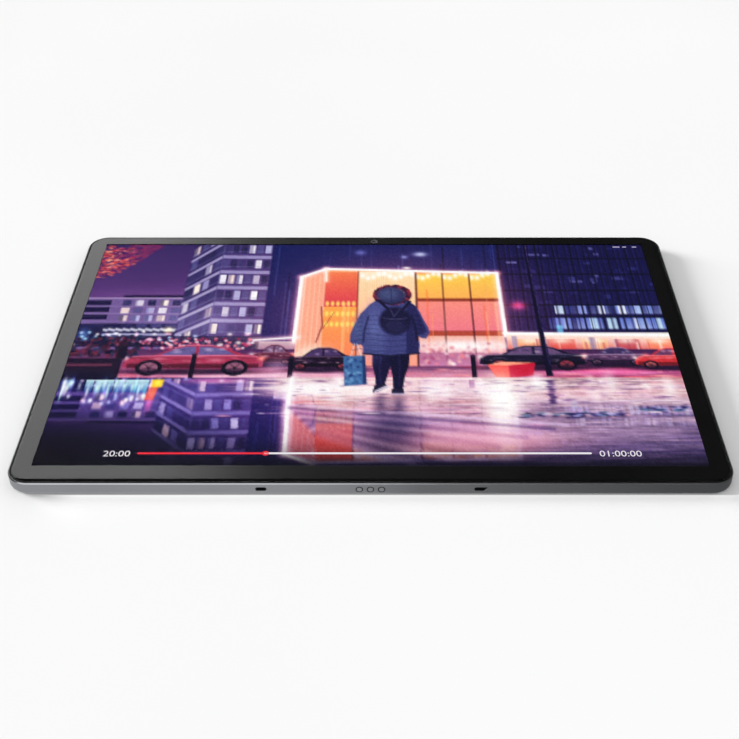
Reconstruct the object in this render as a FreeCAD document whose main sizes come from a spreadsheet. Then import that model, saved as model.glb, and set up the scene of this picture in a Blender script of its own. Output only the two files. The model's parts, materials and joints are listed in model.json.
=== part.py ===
import FreeCAD, Part
import math
import os
import re

import Sketcher
from FreeCAD import Placement, Rotation, Vector

# A thin 11.5 inch tablet computer, lying on its back with the screen up. The long side runs along X,
# the short side along Y, and the origin is the centre of the back face. The long edge with the dock
# contacts faces -Y. Every length is in millimetres. Heights named *_base are measured from the back face.

# Driving dimensions, kept in the document's spreadsheet. A *_place is a position along a wall.
SIZES = {
    # metal casing
    "body_length": 264.3, "body_width": 171.4, "body_height": 5.8, "corner_radius": 8.5,
    "wall_thickness": 1.3, "floor_thickness": 0.8, "under_radius": 1.4,
    "rim_height": 5.2, "rim_chamfer": 0.35, "rebate_height": 3.9, "rebate_wall": 0.5,
    "wall_cut": 2.2, "side_height": 2.4, "slack": 0.05,
    # screen stack, inset from the casing's outline
    "lip_inset": 0.55, "lip_thickness": 0.3, "ledge_height": 4.75, "ledge_inset": 5.5,
    "glass_inset": 0.9, "glass_base": 5.05, "glass_edge": 5.35, "glass_shoulder": 5.65,
    "shoulder_inset": 0.45, "crown_inset": 1.7, "border_thickness": 0.1,
    "seal_inset": 1.3, "seal_reach": 3.2, "active_inset": 8.3, "active_radius": 1.5, "active_shift": 1.0,
    "panel_inset": 6.8, "panel_base": 4.15, "panel_top": 4.85, "back_plate_base": 4.0,
    "plate_inset": 1.4, "plate_base": 3.55, "plate_thickness": 0.35,
    # battery
    "cell_length": 96, "cell_width": 104, "cell_gap": 8, "cell_place": -10, "cell_base": 0.9,
    "cell_height": 2.5, "cell_radius": 2.5, "strip_width": 14, "strip_reach": 30, "guard_length": 60,
    "guard_width": 3.6, "guard_gap": 0.2, "battery_cable_place": -24, "battery_cable_lead": 1,
    # circuit boards
    "board_base": 1.3, "board_thickness": 0.7, "board_left": -88, "board_right": 104, "board_front": 48,
    "board_rear": 80, "boss_radius": 2.2, "boss_bore": 0.75, "boss_depth": 0.8, "shield_height": 1.3,
    "shield_skin": 0.2, "shield_front": 55.5, "shield_width": 18, "ribbon": 0.1, "chip_side": 12,
    "chip_height": 0.8, "spreader_length": 100, "spreader_place": -36, "spreader_margin": 2,
    "board_notch_slack": 1,
    "screw_radius": 0.7, "screw_head": 1.45, "screw_head_height": 0.5, "board_hole": 0.9,
    # display electronics
    "driver_length": 88, "driver_width": 10, "driver_place": -73, "driver_base": 3.5,
    "display_ribbon_place": 27, "display_ribbon_width": 14, "display_ribbon_rear": 54.6,
    "window_slack": 1.0, "port_notch_slack": 1.0,
    # connector for charging and data, in the right wall
    "port_width": 8.8, "port_height": 2.9, "port_skin": 0.2, "port_depth": 7.0, "port_recess": 0.1,
    "port_centre": 2.35, "port_rear_skin": 0.6, "tongue_width": 6.7, "tongue_height": 0.7,
    "tongue_length": 4.6, "port_board_length": 20.8, "port_board_width": 28,
    "port_ribbon_place": 103.4, "port_ribbon_width": 5, "port_ribbon_front": 10, "ribbon_overlap": 6,
    # loudspeakers behind the short walls
    "speaker_place": 42, "speaker_length": 32, "speaker_depth": 17, "speaker_base": 0.9,
    "speaker_height": 2.45, "throat_margin": 3, "mesh_margin": 2.5, "speaker_gap": 1.3,
    "cone_length": 22, "cone_width": 11, "cone_thickness": 0.4, "cone_recess": 0.6,
    "grille_pitch": 2.5, "grille_radius": 0.55, "mesh_thickness": 0.2, "mesh_height": 2.0, "grille_holes": 10,
    "throat_depth": 3.3, "throat_height": 1.0,
    # power button, in the left wall
    "power_place": 68, "power_length": 12.9, "volume_place": -96, "volume_length": 24.2, "key_height": 2.1,
    "key_gap": 0.15, "volume_gap": 0.3, "key_proud": 0.3, "flange_overlap": 1.05, "flange_height": 2.15,
    "flange_thickness": 0.45, "flange_gap": 0.1, "volume_flange_gap": 0.3, "volume_arm": 8.5,
    "pivot_radius": 0.7,
    "plunger_radius": 0.6, "plunger_length": 1.7, "plunger_gap": 0.03, "plunger_slide": 0.05,
    "button_ribbon_width": 1.6, "button_ribbon_inset": 9, "button_ribbon_edge": 2.6,
    "switch_depth": 2.0, "switch_length": 4.0, "switch_height": 1.8, "switch_bore_depth": 1.5,
    "switch_travel": 0.3,
    # memory card tray and its ejector, in the right wall
    "tray_place": 68, "face_length": 16.8, "face_height": 2.2, "face_thickness": 1.75, "face_gap": 0.1,
    "carrier_length": 17.9, "carrier_width": 12.6, "carrier_height": 1.5,
    "card_length": 15.1, "card_width": 11.1, "card_depth": 0.85, "pin_hole_offset": 7.0,
    "pin_hole_radius": 0.5, "eject_rod_radius": 0.45, "eject_rod_length": 19.8,
    "rod_guide_radius": 0.5, "cage_length": 23.2, "cage_width": 16.2, "mouth_gap": 0.2,
    "cage_height": 2.3, "cage_skin": 0.2, "cage_shift": 0.5, "cage_foot": 4, "rod_guide_length": 2,
    "lever_place": 70, "lever_depth": 1.2,
    "lever_arm": 6.0, "lever_nose": 8.5, "lever_height": 0.8, "lever_pin_radius": 0.5, "lever_bore": 0.53,
    "lever_eye_wall": 0.5,
    "lever_back": 109.6,
    # front wall: dock contacts and the two slots of a clip-on keyboard
    "contact_radius": 0.93, "contact_pitch": 4.03, "contact_hole": 1.35, "collar_slack": 0.03,
    "contact_length": 4.6, "contact_recess": 0.02, "carrier_block": 14, "carrier_depth": 2.8,
    "carrier_rise": 2.3, "dock_place": 39.5, "dock_height": 2.6, "dock_slot_length": 4.0,
    "dock_slot_height": 1.6, "dock_key": 1.1, "dock_cup_length": 6.6, "dock_cup_depth": 2.6,
    "dock_cup_height": 2.3, "magnet_length": 12, "magnet_width": 3.0, "magnet_height": 2.2,
    "magnet_gap": 0.3, "dock_cable_gap": 2.5, "dock_cable_margin": 1, "cup_floor": 0.5,
    # cameras, flash and microphones
    "front_camera_back": 4.2, "front_camera_size": 6.2, "front_camera_width": 5.4,
    "front_camera_base": 1.6, "front_barrel": 2.2, "front_lens": 1.1, "front_lens_depth": 0.5,
    "border_hole": 1.7, "rim_hole": 2.5, "camera_place_x": -108, "camera_place_y": 66,
    "trim_length": 25, "trim_width": 13, "trim_wall": 1.1, "window_recess": 0.05, "window_thickness": 0.7,
    "camera_spacing": 11, "main_camera": 8.6, "main_barrel": 3.4, "wide_camera": 7.2, "wide_barrel": 2.7,
    "flash_place": -91.3, "flash_radius": 1.7,
    "flash_lamp_side": 2.4, "flash_lamp_height": 0.5, "mic_place": 40, "mic_hole": 0.45, "mic_length": 3.5,
    "mic_width": 3.0, "mic_height": 1.0,
    # radio parts
    "window_length": 150, "window_width": 6.5, "window_place_x": 20, "window_place_y": 79.6,
    "antenna_length": 34, "antenna_width": 5, "coax_radius": 0.35, "coax_length": 26, "tab_margin": 1.5,
    "antenna_spacing": 100, "coax_spacing": 84,
}

# Screw places, the last PORT_BOARD_SCREWS of them on the port board; shield cans as place and length.
SCREWS = ((-84, 52), (-84, 74), (20, 52), (20, 74), (60, 74), (99, 52), (99, 74), (108, -10), (108, 10))
PORT_BOARD_SCREWS = 2
SHIELDS = ((-62, 34), (-12, 40), (44, 26))
MAGNET_PLACES = (-78, -60, -22, 22, 60, 78)

doc = FreeCAD.newDocument("tablet_computer")
sheet = doc.addObject("Spreadsheet::Sheet", "Sizes")
for row, (alias, number) in enumerate(SIZES.items(), start=1):
    sheet.set(f"A{row}", alias)
    sheet.set(f"B{row}", str(number))
    sheet.setAlias(f"B{row}", alias)
doc.recompute()

BOARD_TOP = "board_base + board_thickness"
nodes = {}


# ---- helpers: every length, place and radius is an expression on the sheet's aliases ----

def bind(text):
    """The expression with each sheet alias written as Sizes.alias."""
    return re.sub(r"[a-z_][a-z0-9_]*", lambda m: "Sizes." + m[0] if m[0] in SIZES else m[0], str(text))


def value(text):
    """The number an expression on the sheet gives."""
    return float(sheet.evalExpression(bind(text)))


def keep(name, shape_object):
    """Names a finished sub-part, so that it is exported under that name."""
    shape_object.Label = name
    nodes[name] = shape_object
    return shape_object


def place(piece, at):
    """Binds a piece's position to three expressions."""
    for axis, text in zip("xyz", at):
        piece.setExpression("Placement.Base." + axis, bind(text))


def block(name, size, at):
    """A box of the given sizes, centred on at in x and y and standing on it in z."""
    piece = doc.addObject("Part::Box", name)
    for side, text in zip(("Length", "Width", "Height"), size):
        piece.setExpression(side, bind(text))
    place(piece, (f"{at[0]} - ({size[0]}) / 2", f"{at[1]} - ({size[1]}) / 2", at[2]))
    return piece


def bar(name, radius, length, at, along="z"):
    """A cylinder that starts at at and runs in the positive x, y or z direction."""
    piece = doc.addObject("Part::Cylinder", name)
    turns = {"x": Rotation(Vector(0, 1, 0), 90), "y": Rotation(Vector(1, 0, 0), -90), "z": Rotation()}
    piece.setExpression("Radius", bind(radius))
    piece.setExpression("Height", bind(length))
    piece.Placement = Placement(Vector(), turns[along])
    place(piece, at)
    return piece


def cut(name, base, *tools):
    """base less every tool."""
    for number, tool in enumerate(tools):
        result = doc.addObject("Part::Cut", f"{name}_cut_{number}")
        result.Base = base
        result.Tool = tool
        base = result
    return base


def fuse(name, *pieces):
    """One solid made of pieces that touch or overlap."""
    result = doc.addObject("Part::MultiFuse", name + "_fuse")
    result.Shapes = list(pieces)
    result.Refine = True
    return result


def group(name, pieces):
    """Separate solids kept as one sub-part."""
    result = doc.addObject("Part::Compound", name + "_group")
    result.Links = list(pieces)
    return result


def new_body(name):
    """An empty PartDesign body."""
    return doc.addObject("PartDesign::Body", name + "_body")


def sketch_on(body, role, offset, name):
    """A sketch on one of the body's own origin planes, moved by three expressions in the plane's own axes."""
    sketch = body.newObject("Sketcher::SketchObject", name)
    plane = next(feature for feature in body.Origin.OriginFeatures if feature.Role == role)
    sketch.AttachmentSupport = (plane, [""])
    sketch.MapMode = "FlatFace"
    for axis, text in zip("xyz", offset):
        sketch.setExpression("AttachmentOffset.Base." + axis, bind(text))
    return sketch


def name_sizes(sketch, first, tag, sizes):
    """Names the constraints from first on, and binds each to its expression."""
    for number, (word, text) in enumerate(sizes):
        sketch.renameConstraint(first + number, f"{tag}_{word}")
        sketch.setExpression(f"Constraints.{tag}_{word}", bind(text))


def rounded_outline(sketch, length, width, radius, tag="outer"):
    """A rounded rectangle centred on the sketch's origin."""
    half_length, half_width, r = value(length) / 2, value(width) / 2, value(radius)
    first = sketch.GeometryCount
    inner_x, inner_y = half_length - r, half_width - r
    sides = (
        ((-inner_x, -half_width), (inner_x, -half_width)),
        ((half_length, -inner_y), (half_length, inner_y)),
        ((inner_x, half_width), (-inner_x, half_width)),
        ((-half_length, inner_y), (-half_length, -inner_y)),
    )
    centres = ((inner_x, -inner_y), (inner_x, inner_y), (-inner_x, inner_y), (-inner_x, -inner_y))
    for number, ((start, end), centre) in enumerate(zip(sides, centres)):
        sketch.addGeometry(Part.LineSegment(Vector(*start, 0), Vector(*end, 0)))
        circle = Part.Circle(Vector(*centre, 0), Vector(0, 0, 1), r)
        quarter = math.radians(90)
        sketch.addGeometry(Part.ArcOfCircle(circle, (number - 1) * quarter, number * quarter))
    rules = [Sketcher.Constraint("Tangent", first + i, 2, first + (i + 1) % 8, 1) for i in range(8)]
    rules += [Sketcher.Constraint("Horizontal", first + i) for i in (0, 4)]
    rules += [Sketcher.Constraint("Vertical", first + i) for i in (2, 6)]
    rules += [Sketcher.Constraint("Equal", first + i, first + i + 2) for i in (1, 3, 5)]
    rules.append(Sketcher.Constraint("Symmetric", first + 1, 3, first + 5, 3, -1, 1))
    sketch.addConstraint(rules)
    named = sketch.ConstraintCount
    sketch.addConstraint([
        Sketcher.Constraint("DistanceX", first + 6, 1, first + 2, 1, 2 * half_length),
        Sketcher.Constraint("DistanceY", first, 1, first + 4, 1, 2 * half_width),
        Sketcher.Constraint("Radius", first + 1, r),
    ])
    name_sizes(sketch, named, tag, (("length", length), ("width", width), ("radius", radius)))


def slot_outline(sketch, length, height, tag="slot"):
    """A straight slot with round ends, centred on the sketch's origin and running along its x axis."""
    reach, r = (value(length) - value(height)) / 2, value(height) / 2
    first = sketch.GeometryCount
    quarter = math.radians(90)
    sketch.addGeometry(Part.LineSegment(Vector(-reach, -r, 0), Vector(reach, -r, 0)))
    right = Part.Circle(Vector(reach, 0, 0), Vector(0, 0, 1), r)
    sketch.addGeometry(Part.ArcOfCircle(right, -quarter, quarter))
    sketch.addGeometry(Part.LineSegment(Vector(reach, r, 0), Vector(-reach, r, 0)))
    left = Part.Circle(Vector(-reach, 0, 0), Vector(0, 0, 1), r)
    sketch.addGeometry(Part.ArcOfCircle(left, quarter, 3 * quarter))
    rules = [Sketcher.Constraint("Tangent", first + i, 2, first + (i + 1) % 4, 1) for i in range(4)]
    rules.append(Sketcher.Constraint("Horizontal", first))
    rules.append(Sketcher.Constraint("Symmetric", first + 1, 3, first + 3, 3, -1, 1))
    sketch.addConstraint(rules)
    named = sketch.ConstraintCount
    sketch.addConstraint([
        Sketcher.Constraint("DistanceX", first + 3, 3, first + 1, 3, 2 * reach),
        Sketcher.Constraint("Radius", first + 1, r),
    ])
    name_sizes(sketch, named, tag, (("reach", f"{length} - ({height})"), ("radius", f"({height}) / 2")))


def keyed_outline(sketch, length, height, key, tag="keyed"):
    """A slot with one round end and one slanted end: its upper side is longer than its lower by key."""
    half, r = value(length) / 2, value(height) / 2
    first = sketch.GeometryCount
    corners = (Vector(half - r, -r, 0), Vector(half + value(key) - r / 2, r, 0))
    sketch.addGeometry(Part.LineSegment(Vector(r - half, -r, 0), corners[0]))
    sketch.addGeometry(Part.LineSegment(corners[0], corners[1]))
    sketch.addGeometry(Part.LineSegment(corners[1], Vector(r - half, r, 0)))
    end = Part.Circle(Vector(r - half, 0, 0), Vector(0, 0, 1), r)
    sketch.addGeometry(Part.ArcOfCircle(end, math.radians(90), math.radians(270)))
    sketch.addConstraint([
        Sketcher.Constraint("Tangent", first + 3, 2, first, 1),
        Sketcher.Constraint("Tangent", first + 2, 2, first + 3, 1),
        Sketcher.Constraint("Coincident", first, 2, first + 1, 1),
        Sketcher.Constraint("Coincident", first + 1, 2, first + 2, 1),
        Sketcher.Constraint("Horizontal", first),
        Sketcher.Constraint("Horizontal", first + 2),
        Sketcher.Constraint("PointOnObject", first + 3, 3, -1),
    ])
    named = sketch.ConstraintCount
    sketch.addConstraint([
        Sketcher.Constraint("DistanceX", -1, 1, first + 3, 3, r - half),
        Sketcher.Constraint("Radius", first + 3, r),
        Sketcher.Constraint("DistanceX", -1, 1, first, 2, half - r),
        Sketcher.Constraint("DistanceX", -1, 1, first + 1, 2, half + value(key) - r / 2),
    ])
    name_sizes(sketch, named, tag, (
        ("round", f"({height} - {length}) / 2"), ("radius", f"{height} / 2"),
        ("lower", f"({length} - {height}) / 2"), ("upper", f"{length} / 2 + {key} - {height} / 4")))


def circles(sketch, radius, centres, tag="hole"):
    """Equal circles at centres, each centre a pair of expressions."""
    for number, (x, y) in enumerate(centres):
        first = sketch.GeometryCount
        centre = Vector(value(x), value(y), 0)
        sketch.addGeometry(Part.Circle(centre, Vector(0, 0, 1), value(radius)))
        named = sketch.ConstraintCount
        sketch.addConstraint([
            Sketcher.Constraint("DistanceX", -1, 1, first, 3, centre.x),
            Sketcher.Constraint("DistanceY", -1, 1, first, 3, centre.y),
            Sketcher.Constraint("Radius", first, value(radius)),
        ])
        name_sizes(sketch, named, f"{tag}_{number}", (("x", x), ("y", y), ("radius", radius)))


def pad(body, sketch, height, name):
    feature = body.newObject("PartDesign::Pad", name)
    feature.Profile = sketch
    feature.setExpression("Length", bind(height))
    doc.recompute()
    return feature


def pocket(body, sketch, depth, name):
    """Cuts against the sketch's normal, and stops the build if nothing was removed."""
    before = body.Shape.Volume
    feature = body.newObject("PartDesign::Pocket", name)
    feature.Profile = sketch
    feature.setExpression("Length", bind(depth))
    doc.recompute()
    if not body.Shape.Volume < before - 1e-6:
        raise RuntimeError(f"{name} removed nothing")
    return feature


def plate(name, length, width, radius, base, height, at=("0", "0"), inner=None):
    """A padded rounded rectangle. inner is the length, width and radius of a window through it."""
    body = new_body(name)
    sketch = sketch_on(body, "XY_Plane", (at[0], at[1], base), name + "_outline")
    rounded_outline(sketch, length, width, radius)
    if inner:
        rounded_outline(sketch, *inner, tag="inner")
    pad(body, sketch, height, name + "_pad")
    return body


def inset_plate(name, inset, base, height, inner_inset=None, inner_radius=None):
    """A plate, or a ring, whose outline is the casing's outline moved in by inset."""
    inner = None
    if inner_inset:
        inner = (f"body_length - 2 * ({inner_inset})", f"body_width - 2 * ({inner_inset})",
                 inner_radius or f"corner_radius - ({inner_inset})")
    radius = f"max(corner_radius - ({inset}); active_radius)"
    return plate(name, f"body_length - 2 * ({inset})", f"body_width - 2 * ({inset})", radius, base, height,
                 inner=inner)


# Side walls: the origin plane a wall's sketches lie on, and where along the plane's normal a cut starts.
WALLS = {
    "right": ("YZ_Plane", "body_length / 2"),
    "left": ("YZ_Plane", "wall_cut - body_length / 2"),
    "front": ("XZ_Plane", "body_width / 2"),
    "rear": ("XZ_Plane", "wall_cut - body_width / 2"),
}


def wall_opening(body, wall, name, along, height, draw):
    """Cuts through one wall. draw(sketch) draws the opening around the sketch's origin."""
    role, start = WALLS[wall]
    sketch = sketch_on(body, role, (along, height, start), name + "_sketch")
    draw(sketch)
    return pocket(body, sketch, "wall_cut", name)


def side_prism(name, role, at, draw, depth):
    """A solid padded along an origin plane's normal, from a sketch moved by at in the plane's own axes."""
    body = new_body(name)
    sketch = sketch_on(body, role, at, name + "_profile")
    draw(sketch)
    pad(body, sketch, depth, name + "_pad")
    return body


# ---- metal casing ----

def grille_centres():
    """Places of one row of sound holes, counted from its middle."""
    count = int(value("grille_holes"))
    return [(f"grille_pitch * ({i} - (grille_holes - 1) / 2)", "0") for i in range(count)]


def make_rear_cover():
    """One-piece metal casing: back, four walls, a rebate for the screen frame, openings and screw bosses."""
    body = new_body("rear_cover")
    outline = sketch_on(body, "XY_Plane", ("0", "0", "0"), "casing_outline")
    rounded_outline(outline, "body_length", "body_width", "corner_radius")
    base = pad(body, outline, "rim_height", "casing_pad")

    def rim_edges(shape, height):
        edges = enumerate(shape.Edges, start=1)
        return [f"Edge{n}" for n, e in edges if all(abs(v.Z - height) < 1e-6 for v in e.Vertexes)]

    under = body.newObject("PartDesign::Fillet", "casing_under_round")
    under.Base = (base, rim_edges(base.Shape, 0))
    under.setExpression("Radius", bind("under_radius"))
    doc.recompute()
    bright_edge = body.newObject("PartDesign::Chamfer", "casing_bright_edge")
    bright_edge.Base = (under, rim_edges(under.Shape, value("rim_height")))
    bright_edge.setExpression("Size", bind("rim_chamfer"))
    doc.recompute()

    rebate = sketch_on(body, "XY_Plane", ("0", "0", "rim_height"), "rebate_outline")
    rounded_outline(rebate, "body_length - 2 * rebate_wall", "body_width - 2 * rebate_wall",
                    "corner_radius - rebate_wall")
    pocket(body, rebate, "rim_height - rebate_height", "rebate_pocket")
    cavity = sketch_on(body, "XY_Plane", ("0", "0", "rim_height"), "cavity_outline")
    rounded_outline(cavity, "body_length - 2 * wall_thickness", "body_width - 2 * wall_thickness",
                    "corner_radius - wall_thickness")
    pocket(body, cavity, "rim_height - floor_thickness", "cavity_pocket")

    wall_opening(body, "right", "port_opening", "0", "port_centre",
                 lambda s: slot_outline(s, "port_width + 2 * slack", "port_height + 2 * slack"))
    wall_opening(body, "right", "tray_opening", "tray_place", "side_height",
                 lambda s: slot_outline(s, "face_length + 2 * face_gap", "face_height + 2 * face_gap"))
    wall_opening(body, "left", "power_opening", "power_place", "side_height",
                 lambda s: slot_outline(s, "power_length + 2 * key_gap", "key_height + 2 * key_gap"))
    wall_opening(body, "rear", "volume_opening", "volume_place", "side_height",
                 lambda s: slot_outline(s, "volume_length + 2 * volume_gap", "key_height + 2 * key_gap"))
    for wall in ("left", "right"):
        for side, sign in (("front", "-"), ("rear", "")):
            wall_opening(body, wall, f"grille_{wall}_{side}", f"{sign}speaker_place", "side_height",
                         lambda s: circles(s, "grille_radius", grille_centres()))
    wall_opening(body, "rear", "microphone_holes", "0", "side_height",
                 lambda s: circles(s, "mic_hole", (("-mic_place", "0"), ("mic_place", "0"))))
    contacts = [(f"contact_pitch * {n}", "0") for n in (-1, 0, 1)]
    wall_opening(body, "front", "contact_holes", "0", "side_height",
                 lambda s: circles(s, "contact_hole", contacts))
    wall_opening(body, "front", "dock_opening_left", "-dock_place", "dock_height",
                 lambda s: slot_outline(s, "dock_slot_length", "dock_slot_height"))
    wall_opening(body, "front", "dock_opening_right", "dock_place", "dock_height",
                 lambda s: keyed_outline(s, "dock_slot_length", "dock_slot_height", "dock_key"))

    camera_hole = sketch_on(body, "XY_Plane", ("camera_place_x", "camera_place_y", "floor_thickness"),
                            "camera_opening_sketch")
    slot_outline(camera_hole, "trim_length + 2 * slack", "trim_width + 2 * slack")
    pocket(body, camera_hole, "floor_thickness", "camera_opening")
    flash_hole = sketch_on(body, "XY_Plane", ("flash_place", "camera_place_y", "floor_thickness"),
                           "flash_opening_sketch")
    circles(flash_hole, "flash_radius + slack", (("0", "0"),))
    pocket(body, flash_hole, "floor_thickness", "flash_opening")
    radio_hole = sketch_on(body, "XY_Plane", ("window_place_x", "window_place_y", "floor_thickness"),
                           "radio_opening_sketch")
    slot_outline(radio_hole, "window_length + 2 * slack", "window_width + 2 * slack")
    pocket(body, radio_hole, "floor_thickness", "radio_opening")

    screws = [(str(x), str(y)) for x, y in SCREWS]
    bosses = sketch_on(body, "XY_Plane", ("0", "0", "floor_thickness"), "boss_sketch")
    circles(bosses, "boss_radius", screws, "boss")
    pad(body, bosses, "board_base - floor_thickness", "bosses")
    bores = sketch_on(body, "XY_Plane", ("0", "0", "board_base"), "boss_bore_sketch")
    circles(bores, "boss_bore", screws, "bore")
    pocket(body, bores, "boss_depth", "boss_bores")
    keep("rear_cover", body)


def make_antenna_window():
    """Plastic strip, flush in the metal back, that lets the radio signals out."""
    body = new_body("antenna_window")
    sketch = sketch_on(body, "XY_Plane", ("window_place_x", "window_place_y", "0"), "antenna_window_outline")
    slot_outline(sketch, "window_length", "window_width")
    pad(body, sketch, "floor_thickness", "antenna_window_pad")
    keep("antenna_window", body)


# ---- screen ----

def make_screen():
    """The layers from the support plate up to the cover glass."""
    front_eye = "body_width / 2 - front_camera_back"
    port_notch = block("port_notch",
                       ("port_depth + port_notch_slack", "port_width + port_notch_slack", "plate_thickness"),
                       ("body_length / 2 - (port_depth + port_notch_slack) / 2", "0", "plate_base"))
    driver_window = block("driver_window",
                          ("driver_length + 2 * window_slack", "driver_width + 2 * window_slack",
                           "plate_thickness"),
                          ("0", "driver_place", "plate_base"))
    plate_hole = bar("plate_camera_hole", "rim_hole", "plate_thickness", ("0", front_eye, "plate_base"))
    support = inset_plate("mid_plate", "plate_inset", "plate_base", "plate_thickness")
    keep("mid_plate", cut("mid_plate", support, port_notch, driver_window, plate_hole))

    ledge = inset_plate("frame_ledge", "lip_inset + lip_thickness", "rebate_height",
                        "ledge_height - rebate_height", "ledge_inset", "corner_radius - ledge_inset")
    lip = inset_plate("frame_lip", "lip_inset", "rebate_height", "rim_height - rebate_height",
                      "lip_inset + lip_thickness")
    ledge_hole = bar("ledge_camera_hole", "rim_hole", "body_height", ("0", front_eye, "0"))
    keep("frame_rim", cut("frame_rim", fuse("frame_rim", lip, ledge), ledge_hole))

    seal = inset_plate("glass_seal", "seal_inset", "ledge_height",
                       "glass_base - border_thickness - ledge_height", "seal_inset + seal_reach")
    seal_hole = bar("seal_camera_hole", "rim_hole", "body_height", ("0", front_eye, "0"))
    keep("glass_seal", cut("glass_seal", seal, seal_hole))

    keep("display_back_plate", inset_plate("display_back_plate", "panel_inset", "back_plate_base",
                                           "panel_base - back_plate_base"))
    keep("display_panel", inset_plate("display_panel", "panel_inset", "panel_base", "panel_top - panel_base"))
    adhesive_inset = "(active_inset + slack)"
    keep("optical_adhesive", plate("optical_adhesive", f"body_length - 2 * {adhesive_inset}",
                                   f"body_width - 2 * {adhesive_inset}", "active_radius", "panel_top",
                                   "glass_base - panel_top", ("0", "active_shift")))

    border = inset_plate("black_border", "glass_inset + slack", "glass_base - border_thickness",
                         "border_thickness")
    border_window = plate("border_window", "body_length - 2 * active_inset", "body_width - 2 * active_inset",
                          "active_radius", "0", "body_height", ("0", "active_shift"))
    border_hole = bar("border_camera_hole", "border_hole", "body_height", ("0", front_eye, "0"))
    keep("black_border", cut("black_border", border, border_window, border_hole))
    make_cover_glass()


def make_cover_glass():
    """Cover glass whose rim falls away in two slopes, as a ground and polished edge does."""
    body = new_body("cover_glass")

    def section(extra, height, name):
        inset = f"(glass_inset + {extra})"
        sketch = sketch_on(body, "XY_Plane", ("0", "0", height), name)
        rounded_outline(sketch, f"body_length - 2 * {inset}", f"body_width - 2 * {inset}",
                        f"corner_radius - {inset}")
        return sketch

    pad(body, section("0", "glass_base", "glass_outline"), "glass_edge - glass_base", "glass_pad")
    loft = body.newObject("PartDesign::AdditiveLoft", "glass_slopes")
    loft.Profile = section("0", "glass_edge", "glass_edge_section")
    loft.Sections = [section("shoulder_inset", "glass_shoulder", "glass_shoulder_section"),
                     section("crown_inset", "body_height", "glass_crown_section")]
    loft.Ruled = True
    doc.recompute()
    keep("cover_glass", body)


def make_display_electronics():
    """Driver board in the support plate's window, and the ribbon that joins it to the main board."""
    keep("display_driver_board",
         block("display_driver_board",
               ("driver_length", "driver_width", "back_plate_base - slack - driver_base"),
               ("0", "driver_place", "driver_base")))
    rear = "display_ribbon_rear"
    flat = block("display_ribbon_flat",
                 ("display_ribbon_width", f"{rear} - driver_place", "ribbon"),
                 ("display_ribbon_place", f"({rear} + driver_place) / 2", "driver_base - ribbon"))
    drop = block("display_ribbon_drop",
                 ("display_ribbon_width", "ribbon", "driver_base - board_base - board_thickness"),
                 ("display_ribbon_place", f"{rear} - ribbon / 2", "board_base + board_thickness"))
    keep("display_cable", fuse("display_cable", flat, drop))


# ---- battery ----

def make_battery():
    """Two flat pouch cells, their pull strips, the protection board and its cable."""
    for side, sign in (("left", "-"), ("right", "")):
        keep(f"battery_cell_{side}", plate(f"battery_cell_{side}", "cell_length", "cell_width", "cell_radius",
                                           "cell_base", "cell_height",
                                           (f"{sign}(cell_gap + cell_length) / 2", "cell_place")))
    middles = ("-(cell_gap + cell_length) / 2", "(cell_gap + cell_length) / 2")
    places = [f"{x} + {step} * strip_reach / 2" for x in middles for step in (-1, 1)]
    strips = [block(f"battery_strip_{n}", ("strip_width", "cell_width", "cell_base - floor_thickness"),
                    (x, "cell_place", "floor_thickness"))
              for n, x in enumerate(places)]
    keep("battery_pull_strips", group("battery_pull_strips", strips))
    rear = "(cell_place + cell_width / 2)"
    guard_front = f"{rear} + guard_gap"
    keep("battery_protection_board",
         block("battery_protection_board", ("guard_length", "guard_width", "board_thickness"),
               ("0", f"{guard_front} + guard_width / 2", "board_base")))
    cable_width = "2 * guard_width + guard_gap"
    keep("battery_cable", block("battery_cable", ("strip_width", cable_width, "ribbon"),
                                ("battery_cable_place",
                                 f"{guard_front} + battery_cable_lead + ({cable_width}) / 2",
                                 "board_base + board_thickness")))


# ---- boards ----

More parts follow.
